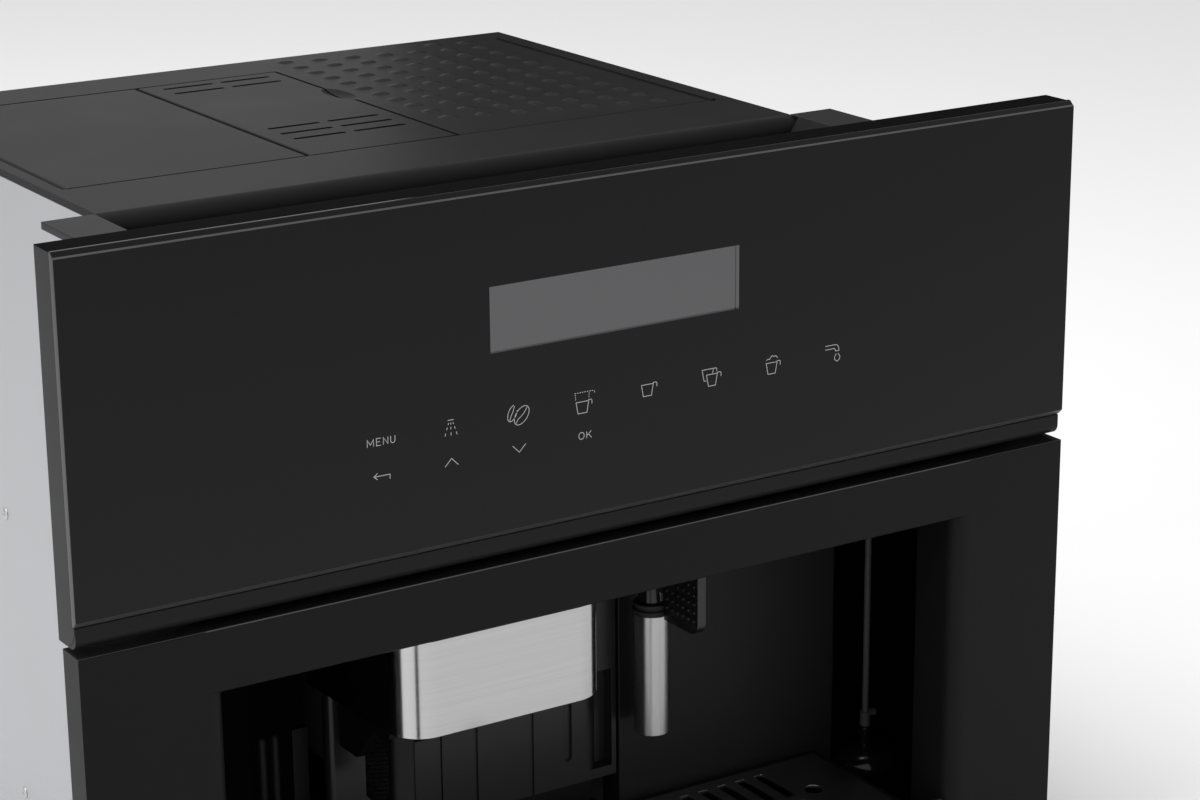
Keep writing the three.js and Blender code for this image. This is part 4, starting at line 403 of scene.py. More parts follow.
def softened(node, finish, radius=None, segments=2):
    """A clean copy of a solid with small rounded edges, which stands for the solid.

    Flat faces are merged first. If one then closes over a slot, the copy keeps its separate faces, and if
    its rounding still does so, it keeps its sharp edges."""
    radius = bpy.context.scene.machine_finish.edge if radius is None else radius
    merged = bmesh.new()
    merged.from_mesh(FRAME["nodes"][node].data)
    bmesh.ops.remove_doubles(merged, verts=merged.verts, dist=WELD)
    most = surface_area(merged) * AREA_GAIN
    flat = merged.copy()
    bmesh.ops.dissolve_limit(flat, angle_limit=FLAT_ANGLE, verts=flat.verts, edges=flat.edges)
    piece = rounded_copy(node, flat, radius, segments)
    if surface_area(flat) > most or finished_area(piece) > most:
        bpy.data.objects.remove(piece)
        piece = rounded_copy(node, merged, radius, segments)
        if finished_area(piece) > most:
            piece.modifiers.clear()
            piece.data.shade_flat()
    flat.free()
    merged.free()
    dress(piece, finish, FRAME["nodes"][node]["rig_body"])
    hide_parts(node)
    return piece


def refinish(piece, finish, low, high):
    """Gives the faces whose middles lie between two (right, depth, height) places in mm another finish."""
    piece.data.materials.append(finish)
    low, high = row(*low), row(*high)
    for face in piece.data.polygons:
        middle = np.array(face.center)
        if np.all(middle > low) and np.all(middle < high):
            face.material_index = len(piece.data.materials) - 1


# ------------------------------------------------------------------ finishes


MIX_FACTOR, MIX_FIRST, MIX_SECOND, MIX_RESULT = 0, 6, 7, 2  # the colour sockets of a Mix node


class Wires:
    """Short ways to add and link nodes of one tree."""

    def __init__(self, tree):
        self.tree = tree

    def node(self, kind, **values):
        """A node with settings or input values; an underscore stands for a space in an input's name."""
        made = self.tree.nodes.new(kind)
        for key, value in values.items():
            if hasattr(made, key):
                setattr(made, key, value)
            else:
                made.inputs[key.replace("_", " ")].default_value = value
        return made

    def link(self, source, target):
        self.tree.links.new(source, target)

    def feed(self, target, value):
        """Links another node's output to an input, or sets the input to a plain value."""
        if isinstance(value, bpy.types.NodeSocket):
            self.link(value, target)
        else:
            target.default_value = value

    def math(self, kind, first, second, clamp=False):
        made = self.node("ShaderNodeMath", operation=kind, use_clamp=clamp)
        for target, value in zip(made.inputs, (first, second)):
            self.feed(target, value)
        return made.outputs[0]

    def mix(self, factor, first, second):
        made = self.node("ShaderNodeMix", data_type="RGBA")
        for place, value in ((MIX_FACTOR, factor), (MIX_FIRST, first), (MIX_SECOND, second)):
            self.feed(made.inputs[place], value)
        return made.outputs[MIX_RESULT]

    def span(self, value, low, high, to_low, to_high):
        """A value moved from one range to another, and kept inside the second."""
        made = self.node("ShaderNodeMapRange", From_Min=low, From_Max=high, To_Min=to_low, To_Max=to_high)
        self.link(value, made.inputs["Value"])
        return made.outputs["Result"]


def new_group(name, inputs, outputs, build):
    """A shader node group, built once, with a Position, float inputs with defaults and float outputs."""
    if name in bpy.data.node_groups:
        return bpy.data.node_groups[name]
    tree = bpy.data.node_groups.new(name, "ShaderNodeTree")
    tree.interface.new_socket("Position", in_out="INPUT", socket_type="NodeSocketVector")
    for label, default in inputs.items():
        socket = tree.interface.new_socket(label, in_out="INPUT", socket_type="NodeSocketFloat")
        socket.default_value = default
    for label in outputs:
        tree.interface.new_socket(label, in_out="OUTPUT", socket_type="NodeSocketFloat")
    wires = Wires(tree)
    build(wires, wires.node("NodeGroupInput"), wires.node("NodeGroupOutput"))
    return tree


def build_moulded(wires, given, result):
    """Moulded grain: fine noise for the height of the skin and broad noise for its evenness.

    The variation runs from 0 to 1 round a middle of one half, so a surface() with this grain shows mostly
    the rough and light ends of its spreads."""
    fine = wires.node("ShaderNodeTexNoise", Detail=3.0, Roughness=0.6)
    broad = wires.node("ShaderNodeTexNoise", Scale=14.0, Detail=2.0, Roughness=0.5)
    for noise in (fine, broad):
        wires.link(given.outputs["Position"], noise.inputs["Vector"])
    wires.link(given.outputs["Grain Scale"], fine.inputs["Scale"])
    wires.link(fine.outputs["Fac"], result.inputs["Height"])
    wires.link(broad.outputs["Fac"], result.inputs["Variation"])


def build_brushed(wires, given, result):
    """Brush lines: noise that changes fast along one axis and slowly along the others, in two widths.

    The variation runs from minus one half to one half."""
    stretch = wires.node("ShaderNodeCombineXYZ")
    parts = wires.node("ShaderNodeSeparateXYZ")
    wires.link(given.outputs["Position"], parts.inputs[0])
    for axis, label in enumerate(("Along X", "Along Y", "Along Z")):
        wires.link(wires.math("MULTIPLY", parts.outputs[axis], given.outputs[label]), stretch.inputs[axis])
    fine = wires.node("ShaderNodeTexNoise", Scale=1.0, Detail=4.0, Roughness=0.7)
    coarse = wires.node("ShaderNodeTexNoise", Scale=0.22, Detail=2.0, Roughness=0.5)
    for noise in (fine, coarse):
        wires.link(stretch.outputs[0], noise.inputs["Vector"])
    both = wires.math("ADD", wires.math("MULTIPLY", fine.outputs["Fac"], 0.7),
                      wires.math("MULTIPLY", coarse.outputs["Fac"], 0.3))
    wires.link(both, result.inputs["Height"])
    wires.link(wires.math("SUBTRACT", both, 0.5), result.inputs["Variation"])


def build_dust(wires, given, result):
    """Dust and handling: patches of noise, kept to faces that look up, as a mask from 0 to 1."""
    patch = wires.node("ShaderNodeTexNoise", Scale=9.0, Detail=5.0, Roughness=0.65)
    specks = wires.node("ShaderNodeTexNoise", Scale=420.0, Detail=1.0, Roughness=0.5)
    for noise in (patch, specks):
        wires.link(given.outputs["Position"], noise.inputs["Vector"])
    shape = wires.node("ShaderNodeNewGeometry")
    parts = wires.node("ShaderNodeSeparateXYZ")
    wires.link(shape.outputs["Normal"], parts.inputs[0])
    up = wires.span(parts.outputs["Z"], 0.2, 1.0, 0.15, 1.0)
    cloud = wires.span(patch.outputs["Fac"], 0.42, 0.75, 0.0, 1.0)
    grains = wires.span(specks.outputs["Fac"], 0.60, 0.72, 0.35, 1.0)
    mask = wires.math("MULTIPLY", wires.math("MULTIPLY", up, cloud), grains, clamp=True)
    wires.link(wires.math("MULTIPLY", mask, given.outputs["Amount"]), result.inputs["Mask"])


GRAINS = {
    # kind: how its group is built, and the group's own inputs with their defaults
    "moulded": (build_moulded, {"Grain Scale": 900.0}),
    "brushed": (build_brushed, {"Along X": 8.0, "Along Y": 8.0, "Along Z": 900.0}),
}
DUST_COLOUR = (0.16, 0.155, 0.15, 1.0)


def surface(name, colour, roughness, grain=None, spread=(0.0, 0.0), bump=0.0, dust=0.0, specular=0.5,
            **sockets):
    """A material: colour and roughness that vary with a grain group, a bump from it and a mask of dust.

    grain is the scale of a moulded grain, or the three scales of a brushed one along x, y and z. spread is
    how far the grain takes the roughness and the colour each way. bump is a height in metres. Other sockets
    are the shader's own."""
    name = "finish_" + name
    if name in bpy.data.materials:
        return bpy.data.materials[name]
    material = bpy.data.materials.new(name)
    material.use_nodes = True
    wires = Wires(material.node_tree)
    shader = material.node_tree.nodes["Principled BSDF"]
    for label, value in sockets.items():
        shader.inputs[label].default_value = value
    shader.inputs["Specular IOR Level"].default_value = specular
    shader.inputs["Base Color"].default_value = (*colour, 1.0)
    shader.inputs["Roughness"].default_value = roughness
    if grain is None:
        return material
    kind, numbers = ("brushed", grain) if isinstance(grain, tuple) else ("moulded", (grain,))
    build, inputs = GRAINS[kind]
    place = wires.node("ShaderNodeTexCoord").outputs["Object"]
    pattern = wires.node("ShaderNodeGroup")
    pattern.node_tree = new_group(kind + "_grain", inputs, ("Height", "Variation"), build)
    for label, number in zip(inputs, numbers):
        pattern.inputs[label].default_value = number
    wires.link(place, pattern.inputs["Position"])
    variation = pattern.outputs["Variation"]
    wires.link(wires.span(variation, -0.5, 0.5, roughness - spread[0], roughness + spread[0]),
               shader.inputs["Roughness"])
    dark, light = ((*(min(1.0, channel * (1 + way * spread[1])) for channel in colour), 1.0)
                   for way in (-1, 1))
    shade = wires.mix(wires.span(variation, -0.5, 0.5, 0.0, 1.0), dark, light)
    if dust:
        veil = wires.node("ShaderNodeGroup")
        veil.node_tree = new_group("settled_dust", {"Amount": 0.3}, ("Mask",), build_dust)
        veil.inputs["Amount"].default_value = dust
        wires.link(place, veil.inputs["Position"])
        shade = wires.mix(veil.outputs["Mask"], shade, DUST_COLOUR)
    wires.link(shade, shader.inputs["Base Color"])
    if bump:
        relief = wires.node("ShaderNodeBump", Strength=1.0, Distance=bump)
        wires.link(pattern.outputs["Height"], relief.inputs["Height"])
        wires.link(relief.outputs["Normal"], shader.inputs["Normal"])
    return material


def shaded(colour, times):
    """A colour with each channel multiplied."""
    return tuple(channel * times for channel in colour)


def finishes():
    """Every finish of the machine, by name. A row gives the colour, the roughness, the grain, its spread
    and then, where there are any, the bump, the dust and the shader's own values."""
    colours = bpy.context.scene.machine_finish
    display = bpy.context.scene.machine_glass.display_colour
    printed = bpy.context.scene.machine_glass.print_colour
    gloss, steel = colours.gloss, colours.steel
    coarse, middling, fine, faint, least = (bump * MM for bump in (0.04, 0.03, 0.02, 0.01, 0.005))
    made = [
        surface("black_glass", (0.0030, 0.0030, 0.0031), 0.05, 6.0, (0.015, 0.1), specular=0.19),
        surface("printed_symbol", printed, 0.5, 2500.0, (0.05, 0.06)),
        surface("display_lens", display, 0.22, 30.0, (0.03, 0.05), specular=0.34),
        # painted shade: a darker copy of the display colour for the step at its right and foot
        surface("display_step_shade", shaded(display, 0.45), 0.25, 30.0, (0.03, 0.05), specular=0.34),
        surface("satin_black", colours.black, 0.42, 1600.0, (0.06, 0.18), fine, 0.05, specular=0.2),
        surface("frame_black", (0.0060, 0.0060, 0.0061), 0.42, 1600.0, (0.06, 0.18), fine, specular=0.1),
        surface("panel_black", (0.0078, 0.0078, 0.0079), 0.42, 1600.0, (0.06, 0.18), fine, specular=0.2),
        surface("lip_black", (0.0105, 0.0104, 0.0104), 0.4, 900.0, (0.05, 0.1), faint, specular=0.1),
        # painted highlight: a lighter copy of the black glass for the bevel along its foot
        surface("glass_bevel_highlight", (0.034, 0.034, 0.035), 0.3, 60.0, (0.03, 0.1), specular=0.2),
        # painted highlights: light strips along the glass's upper bevel and the frame's top edge
        surface("glass_arris_highlight", (0.042, 0.042, 0.044), 0.3, 60.0, (0.03, 0.15)),
        surface("frame_arris_highlight", (0.036, 0.036, 0.037), 0.35, 60.0, (0.03, 0.15)),
        surface("gloss_dome", gloss, 0.14, 40.0, (0.03, 0.15), faint, specular=0.4),
        # painted shade: a darker copy of the black plastic for surfaces deep in the niche, the housing's top,
        # the seams and the side pocket
        surface("painted_shade_black", (0.0012, 0.0012, 0.0012), 0.7, 900.0, (0.05, 0.1), faint, specular=0.02),
        surface("door_black", shaded(gloss, 1.7), 0.3, 40.0, (0.03, 0.15), faint, specular=0.34),
        surface("gloss_black", gloss, 0.16, 40.0, (0.03, 0.15), faint, specular=0.2),
        surface("deck_grey", colours.grey, 0.3, 1800.0, (0.05, 0.14), fine, 0.05, specular=0.03),
        surface("inner_grey", (0.055, 0.055, 0.058), 0.6, 1300.0, (0.05, 0.14), middling, 0.1),
        surface("brushed_steel", steel, 0.18, (7.0, 7.0, 1400.0), (0.08, 0.18), least, Metallic=1.0),
        surface("turned_steel", shaded(steel, 0.92), 0.3, (260.0, 260.0, 6.0), (0.1, 0.4), 0.004 * MM,
                Metallic=1.0),
        surface("grip_black", gloss, 0.28, 1600.0, (0.05, 0.15), faint, specular=0.38),
        surface("grid_steel", steel, 0.3, (9.0, 1500.0, 9.0), (0.1, 0.1), faint, Metallic=1.0),
        surface("coated_sheet", colours.zinc, 0.42, 220.0, (0.1, 0.12), faint, 0.12, Metallic=0.75),
        surface("screw_steel", (0.42, 0.42, 0.43), 0.32, 900.0, (0.08, 0.1), fine, Metallic=1.0),
        surface("seal_rubber", (0.012, 0.012, 0.012), 0.75, 1500.0, (0.06, 0.15), coarse, 0.05),
        surface("smoked_clear", (0.05, 0.053, 0.057), 0.14, 60.0, (0.04, 0.1), faint, Alpha=0.72),
        surface("red_plastic", (0.38, 0.018, 0.016), 0.38, 1500.0, (0.05, 0.1), fine),
        surface("circuit_green", (0.016, 0.075, 0.032), 0.45, 260.0, (0.08, 0.3), middling, 0.05),
        surface("burr_ceramic", (0.66, 0.64, 0.59), 0.4, 900.0, (0.06, 0.06), fine),
    ]
    return {material.name.removeprefix("finish_"): material for material in made}


FINISH_OF_SLOT = {
    # record slot: the finish of its solids where an operator names no other
    "black_glass": "black_glass",
    "black_plastic": "satin_black",
    "gloss_black_plastic": "gloss_black",
    "grey_plastic": "inner_grey",
    "brushed_steel": "brushed_steel",
    "zinc_sheet": "coated_sheet",
    "smoked_plastic": "smoked_clear",
    "rubber": "seal_rubber",
    "red_plastic": "red_plastic",
    "circuit_board": "circuit_green",
    "display_lens": "display_lens",
    "ceramic": "burr_ceramic",
}


def soften_all(nodes, finish=None, **shape):
    """Softened copies of several solids, in the finish of their record slot unless one is named."""
    ready = finishes()
    for node in nodes:
        softened(node, ready[finish or FINISH_OF_SLOT[RECORD_SLOT[node]]], **shape)


# ------------------------------------------------------------------ printed symbols


RIM_LIFT, HOOK_DROP, HOOK_BEND, HOOK_INSET = 0.5, 1.9, 0.5, 0.2  # mm, of the handle of a drawn cup


def cup(left, top, width=7.2, height=6.1, taper=1.1, handle=2.2):
    """A cup from the side: a tapered body, and a rim line that runs on into a hooked handle."""
    right = left + width
    hook = right + handle
    foot = top - height
    return [
        [(right, top), (left, top), (left + taper, foot), (right - taper, foot), (right, top)],
        [(right - HOOK_INSET, top + RIM_LIFT), (hook - HOOK_BEND, top + RIM_LIFT), (hook, top),
         (hook, top - HOOK_DROP)],
    ]


def dashes(start, end, count, share=0.55):
    """A dashed line: count equal strokes that fill that share of the way."""
    start, end = np.asarray(start, float), np.asarray(end, float)
    return [[tuple(start + (end - start) * i / count), tuple(start + (end - start) * (i + share) / count)]
            for i in range(count)]


KEYS = 8  # in a row
MIDDLE_KEY = (KEYS - 1) / 2

SYMBOLS = {
    # key number from the left, row, strokes in mm from the middle of the key
    "menu": (0, "high", [
        [(-7.6, -1.8), (-7.6, 1.8), (-5.9, -0.9), (-4.2, 1.8), (-4.2, -1.8)],
        [(-0.2, 1.8), (-2.6, 1.8), (-2.6, -1.8), (-0.2, -1.8)], [(-2.6, 0.1), (-0.6, 0.1)],
        [(1.2, -1.8), (1.2, 1.8), (3.7, -1.8), (3.7, 1.8)],
        [(5.2, 1.8), (5.2, -0.7), (5.6, -1.5), (6.4, -1.8), (7.2, -1.5), (7.6, -0.7), (7.6, 1.8)],
    ]),
    "rinse": (1, "high", [
        [(-1.7, 4.0), (1.7, 4.0)],
        [(-1.2, 2.7), (-1.5, 1.7)], [(0, 2.7), (0, 1.7)], [(1.2, 2.7), (1.5, 1.7)],
        [(-2.0, 0.4), (-2.4, -0.8)], [(0, 0.4), (0, -0.8)], [(2.0, 0.4), (2.4, -0.8)],
        [(-3.0, -2.4), (-3.4, -3.9)], [(0, -2.4), (0, -3.9)], [(3.0, -2.4), (3.4, -3.9)],
    ]),
    "beans": (2, "high", [
        ellipse((1.7, -0.7), (5.4, 3.4), 50).tolist(),
        [(-1.6, -4.4), (-0.4, -2.4), (1.6, -1.0), (3.2, 0.6), (4.9, 3.0)],
        ellipse((-3.6, 1.2), (4.4, 2.4), 66, 20, 300, 22).tolist(),
        [(-5.2, -2.3), (-4.4, 0.0), (-3.2, 2.2), (-2.4, 4.8)],
    ]),
    "cup_size": (3, "high", cup(-5.2, 0.2, 7.5, 6.0, 1.1, 1.9)
                 + dashes((-6.0, 5.1), (5.6, 5.1), 8) + dashes((-5.7, 4.4), (-5.3, 1.0), 3)
                 + dashes((2.6, 4.4), (2.4, 1.4), 3) + [[(5.8, 4.9), (5.8, 3.9)]]),
    "one_cup": (4, "high", cup(-4.7, 2.6)),
    "two_cups": (5, "high", cup(-3.4, 1.4, 6.8, 6.2, 1.2, 2.3) + [
        [(-3.6, -1.6), (-4.9, -1.6), (-6.1, 4.4), (2.6, 4.4), (3.0, 4.0), (3.0, 2.6)],
        [(0.9, 4.2), (0.4, 1.8)],
    ]),
    "foam_cup": (6, "high", cup(-4.4, 1.3, 7.0, 6.0, 1.2, 2.0) + [
        [(-4.4, 3.0), (-3.4, 3.5), (-2.2, 3.3), (-1.4, 4.5), (-0.4, 5.0), (0.6, 4.4), (1.4, 4.7),
         (2.3, 4.3), (2.8, 3.4)],
    ]),
    "hot_water": (7, "high", [
        [(-4.9, 4.4), (1.6, 4.4), (3.0, 4.0), (3.9, 2.9), (4.1, 0.9), (1.9, 0.9), (1.6, 1.9), (1.0, 2.4),
         (-4.9, 2.4)],
        [(2.3, -0.5), (2.0, -1.3), (1.2, -2.4), (1.4, -3.8), (3.0, -4.9), (4.6, -3.8), (4.8, -2.4),
         (4.0, -1.3), (3.7, -0.5)],
    ]),
    "back": (0, "low", [
        [(-4.3, 0.3), (4.3, 0.3), (4.3, -2.0)],
        [(-2.6, 1.9), (-4.6, 0.3), (-2.6, -1.3)],
    ]),
    "up": (1, "low", [[(-3.8, -1.9), (0, 1.9), (3.8, -1.9)]]),
    "down": (2, "low", [[(-3.8, 1.9), (0, -1.9), (3.8, 1.9)]]),
    "ok": (3, "low", [
        ellipse((-2.2, 0), (1.6, 1.8), 0, 0, 360, 20).tolist(),
        [(0.9, -1.8), (0.9, 1.8)], [(3.6, 1.8), (0.9, -0.4)], [(1.9, 0.5), (3.8, -1.8)],
    ]),
}


# ------------------------------------------------------------------ operators


FLOOR_REACH, FLOOR_POINTS = 9.0, 13  # half a side in metres, and points along a side
FLOOR_DROP = 0.5 * MM  # the gap under the machine
ROOM_COLOUR = (0.83, 0.83, 0.835, 1.0)
SEEN_ROOM = 0.8  # strength of the room light in the picture and in reflections
VIEW_PLACE = (-0.7908, -1.4623, 0.7838)
VIEW_TURN, VIEW_TILT, VIEW_ROLL = 32.506, 17.076, 0.480  # degrees to the right, down and clockwise
VIEW_SENSOR, VIEW_LENS, VIEW_NEAREST = 36.0, 90.53, 0.05  # mm, mm and metres


class MACHINE_OT_stage(bpy.types.Operator):
    """Builds the floor, the lamps, the room light, the dark cards and the camera"""

    bl_idname = "machine.stage"
    bl_label = "Stage"

    def execute(self, context):
        settings = context.scene.machine_stage
        self.floor(settings)
        self.room(context, settings)
        self.lamp("lamp_above", settings.key, size=2.2, place=(-0.6, 0.5, 2.4), target=(0.0, 0.0, 0.2))
        self.lamp("lamp_left", settings.fill, size=1.4, place=(-2.2, -0.2, 1.3), target=(0.0, 0.0, 0.35))
        self.flag("flag_cover", place=(-0.255, -0.427), bearing=56.0, width=0.045, heights=(0.02, 0.17))
        self.flag("flag_sleeve", place=(-0.046, -0.303), bearing=51.0, width=0.020, heights=(0.0, 0.14))
        self.flag("flag_back", place=(1.02, 0.87), bearing=-120.0, width=0.95, heights=(0.0, 0.9))
        self.camera(context)
        context.scene.view_settings.view_transform = "Standard"
        return {"FINISHED"}

    def floor(self, settings):
        """A flat grid just under the machine."""
        reach = np.linspace(-FLOOR_REACH, FLOOR_REACH, FLOOR_POINTS)
        x, y = np.meshgrid(reach, reach, indexing="ij")
        faces = grid_faces(FLOOR_POINTS, FLOOR_POINTS)[:, ::-1]
        floor = mesh_object("floor", np.stack([x, y, np.full_like(x, -FLOOR_DROP)], -1), faces)
        looking(floor, (0.0, 0.0, 1.0))
        paint = surface("floor_paint", settings.floor, 0.75, 40.0, (0.03, 0.01), specular=0.0)
        floor.data.materials.append(paint)

    def room(self, context, settings):
        """Even light, with a strength of its own where it is seen by the camera or in a reflection."""
        world = bpy.data.worlds.new("room")
        context.scene.world = world
        world.use_nodes = True
        wires = Wires(world.node_tree)
        light = world.node_tree.nodes["Background"]
        rays = wires.node("ShaderNodeLightPath")
        seen = wires.math("MAXIMUM", rays.outputs["Is Camera Ray"], rays.outputs["Is Glossy Ray"])
        seen = wires.math("MAXIMUM", seen, rays.outputs["Is Transmission Ray"])
        light.inputs["Color"].default_value = ROOM_COLOUR
        wires.link(wires.span(seen, 0.0, 1.0, settings.sky, SEEN_ROOM), light.inputs["Strength"])

    def flag(self, name, place, bearing, width, heights):
        """A dark card that only reflections see. Its place is in metres, and it stands square to a bearing
        in degrees from the left towards the front."""
        turn = math.radians(bearing)
        side = np.array((-math.sin(turn), math.cos(turn), 0.0)) * width / 2
        middle = np.array((*place, 0.0))
        low, high = (np.array((0.0, 0.0, height)) for height in heights)
        corners = [middle - side + low, middle + side + low, middle + side + high, middle - side + high]
        card = mesh_object(name, corners, [[0, 1, 2, 3]])
        cloth = surface("flag_cloth", (0.004, 0.004, 0.004), 0.9, specular=0.0)
        card.data.materials.append(cloth)
        card.visible_camera = card.visible_diffuse = False
        card.visible_shadow = card.visible_transmission = False

    def lamp(self, name, power, size, place, target):
        """A round soft lamp that shines from a place to a target; sizes and places are in metres."""
        data = bpy.data.lights.new(name, "AREA")
        data.shape = "DISK"
        data.size = size
        data.energy = power
        lamp = bpy.data.objects.new(name, data)
        bpy.context.scene.collection.objects.link(lamp)
        lamp.location = place
        lamp.rotation_euler = (Vector(target) - Vector(place)).to_track_quat("-Z", "Y").to_euler()

    def camera(self, context):
        """The photograph's view: a place, a turn to the right, a tilt down and a small roll."""
        turn, tilt, roll = (math.radians(angle) for angle in (VIEW_TURN, VIEW_TILT, VIEW_ROLL))
        level = math.cos(tilt)
        ahead = Vector((math.sin(turn) * level, math.cos(turn) * level, -math.sin(tilt)))
        right = Vector((math.cos(turn), -math.sin(turn), 0.0))
        down = ahead.cross(right)
        across = right * math.cos(roll) + down * math.sin(roll)
        under = down * math.cos(roll) - right * math.sin(roll)
        data = bpy.data.cameras.new("photo_view")
        data.sensor_width = VIEW_SENSOR
        data.lens = VIEW_LENS
        data.clip_start = VIEW_NEAREST
        camera = bpy.data.objects.new("photo_view", data)
        context.scene.collection.objects.link(camera)
        turned = Matrix((across, -under, -ahead)).transposed().to_4x4()
        camera.matrix_world = Matrix.Translation(VIEW_PLACE) @ turned
        context.scene.camera = camera


# two opposite corners each, as (right, depth, height) in mm
# the bevel along the foot of the glass gets a painted highlight
HIGHLIGHTED_GLASS_FOOT = ((-300.0, 0.4, 275.0), (300.0, 2.7, 278.9))  # the bevel along the foot of the glass
# the top of the housing gets painted shade
SHADED_HOUSING_TOP = ((-300.0, 4.0, 454.0), (300.0, 25.0, 456.0))  # the top of the housing behind the glass
LIP_HALF, ARRIS_HALF = 297.0, 297.4  # mm from the middle to the ends of the lip and of an arris


class MACHINE_OT_front(bpy.types.Operator):
    """Finishes the glass, its housing and the frame round the niche, with a painted highlight on the glass's
    foot and painted shade on the housing's top, and adds the lip and the painted highlights along two arrises
    """

    bl_idname = "machine.front"
    bl_label = "Front"

    def execute(self, context):
        ready = finishes()
        glass = softened("control_glass", ready["black_glass"], 0.35 * MM)
        # painted highlight on the bevel at the foot of the glass
        refinish(glass, ready["glass_bevel_highlight"], *HIGHLIGHTED_GLASS_FOOT)
        housing = softened("fascia_housing", ready["lip_black"], 0.6 * MM, 3)
        # painted shade on the top of the housing
        refinish(housing, ready["painted_shade_black"], *SHADED_HOUSING_TOP)
        soften_all(["lower_frame"], "frame_black", radius=0.6 * MM, segments=3)
        soften_all(["display_module", "touch_board"])
        self.lip(ready)
        self.edges(ready)
        return {"FINISHED"}

    def lip(self, ready):
        """The lip under the glass: upright, then a quarter circle that turns under towards the gap. Its
        profile is that line and a second one close behind it."""
        depth, height, radius = 8.4, 269.5, 5.5
        top, foot, back = 275.5, 263.95, 12.5
        behind, above = 0.5, 0.3
        turn = np.radians(np.linspace(180, 270, 13))
        round_part = np.column_stack([depth + radius * np.cos(turn), height + radius * np.sin(turn)])
        profile = [(depth - radius, top), *round_part.tolist(), (back, foot), (back, foot + above),
                   (depth - radius + behind, top)]
        moulding("lip_skirt", profile, -LIP_HALF, LIP_HALF, ready["lip_black"])

    def edges(self, ready):
        """Painted highlights: light strips along the foot of the glass's upper bevel and along the top of the
        frame.
        """
        on_glass = [(0.05, 452.0), (0.85, 452.8), (0.80, 452.85), (0.0, 452.05)]
        on_frame = [(0.0, 260.75), (0.0, 261.2), (0.1, 261.3), (0.55, 261.3), (0.55, 260.75)]
        for name, profile, slot in (("glass_arris_highlight", on_glass, "black_glass"),
                                    ("frame_arris_highlight", on_frame, "black_plastic")):
            moulding(name, profile, -ARRIS_HALF, ARRIS_HALF, ready[name])


WINDOW = (-73.6, 74.9, 372.2, 405.9)  # left, right, low and high edges of the display in mm
WINDOW_POINTS = (9, 5)
STEP_FROM, STEP_TO = 2.6, 1.9  # mm from the window's right edge
STEP_LOW = 0.9  # height of the lower step in mm
WINDOW_LIFT, STEP_LIFT = 0.5, 0.8  # in parts of the print's thickness


class MACHINE_OT_print(bpy.types.Operator):
    """Prints the symbols and the display window on the glass"""

    bl_idname = "machine.print"
    bl_label = "Print"

    def execute(self, context):
        glass = context.scene.machine_glass
        ready = finishes()
        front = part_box("control_glass")[0].y
        rows = {"high": glass.row_high, "low": glass.row_low}
        for name, (key, row_name, strokes) in SYMBOLS.items():
            middle = ((key - MIDDLE_KEY) * glass.pitch, rows[row_name])
            parts = [self.stroke(glass, front, middle, np.asarray(stroke, float)) for stroke in strokes]
            piece = facing_out(mesh_object("symbol_" + name, *joined(parts), smooth=False))
            dress(piece, ready["printed_symbol"], "machine")
        self.window(glass, ready, front)
        return {"FINISHED"}

    def stroke(self, glass, front, middle, path):
        """One printed line, closed where its path ends at its start, stood upright on the glass."""
        closed = bool(np.allclose(path[0], path[-1]))
        path = (path[:-1] if closed else path) * MM
        points, faces = bar_along(path, glass.line, -glass.proud, glass.proud, closed)
        right, up, out = points.T
        return np.column_stack([right + middle[0], front - out, up + middle[1]]), faces

    def window(self, glass, ready, front):
        """The display seen through the glass: a grey field, with painted shade on the step at its right and
        foot.
        """
        left, right, low, high = (edge * MM for edge in WINDOW)
        step = (right - STEP_FROM * MM, right - STEP_TO * MM)
        for name, (x_from, x_to), (z_from, z_to), lift, finish in (
            ("display_window", (left, right), (low, high), WINDOW_LIFT, "display_lens"),
            ("display_step_shade_right", step, (low, high), STEP_LIFT, "display_step_shade"),
            ("display_step_shade_low", (left, right), (low, low + STEP_LOW * MM), STEP_LIFT, "display_step_shade"),
        ):
            x, z = np.meshgrid(np.linspace(x_from, x_to, WINDOW_POINTS[0]),
                               np.linspace(z_from, z_to, WINDOW_POINTS[1]), indexing="ij")
            y = np.full_like(x, front - glass.proud * lift)
            sheet = mesh_object(name, np.stack([x, y, z], -1), grid_faces(*WINDOW_POINTS))
            dress(looking(sheet, (0.0, -1.0, 0.0)), ready[finish], "machine")


SEAM_SHADE_DEPTH = 1.2  # mm that a painted-shade strip reaches down into a seam between the lids
# black strips of painted shade in the seams beside the lids
SEAM_SHADES = (
    # name, left, right, front, rear in mm
    ("bean_seam_shade", -65.15, -63.45, 208.2, 431.8),
    ("chute_seam_shade_front", 28.8, 30.9, 208.2, 325.2),
    ("chute_seam_shade_rear", 28.8, 30.9, 371.8, 431.8),
)
# mm: where a corner fillet starts and ends across, its foot, its drop under the deck, its front and rear
FILLET_OUTER, FILLET_INNER, FILLET_FOOT, FILLET_DROP = 214.2, 200.0, 411.0, 0.2
FILLET_FRONT, FILLET_REAR = 24.6, 139.4


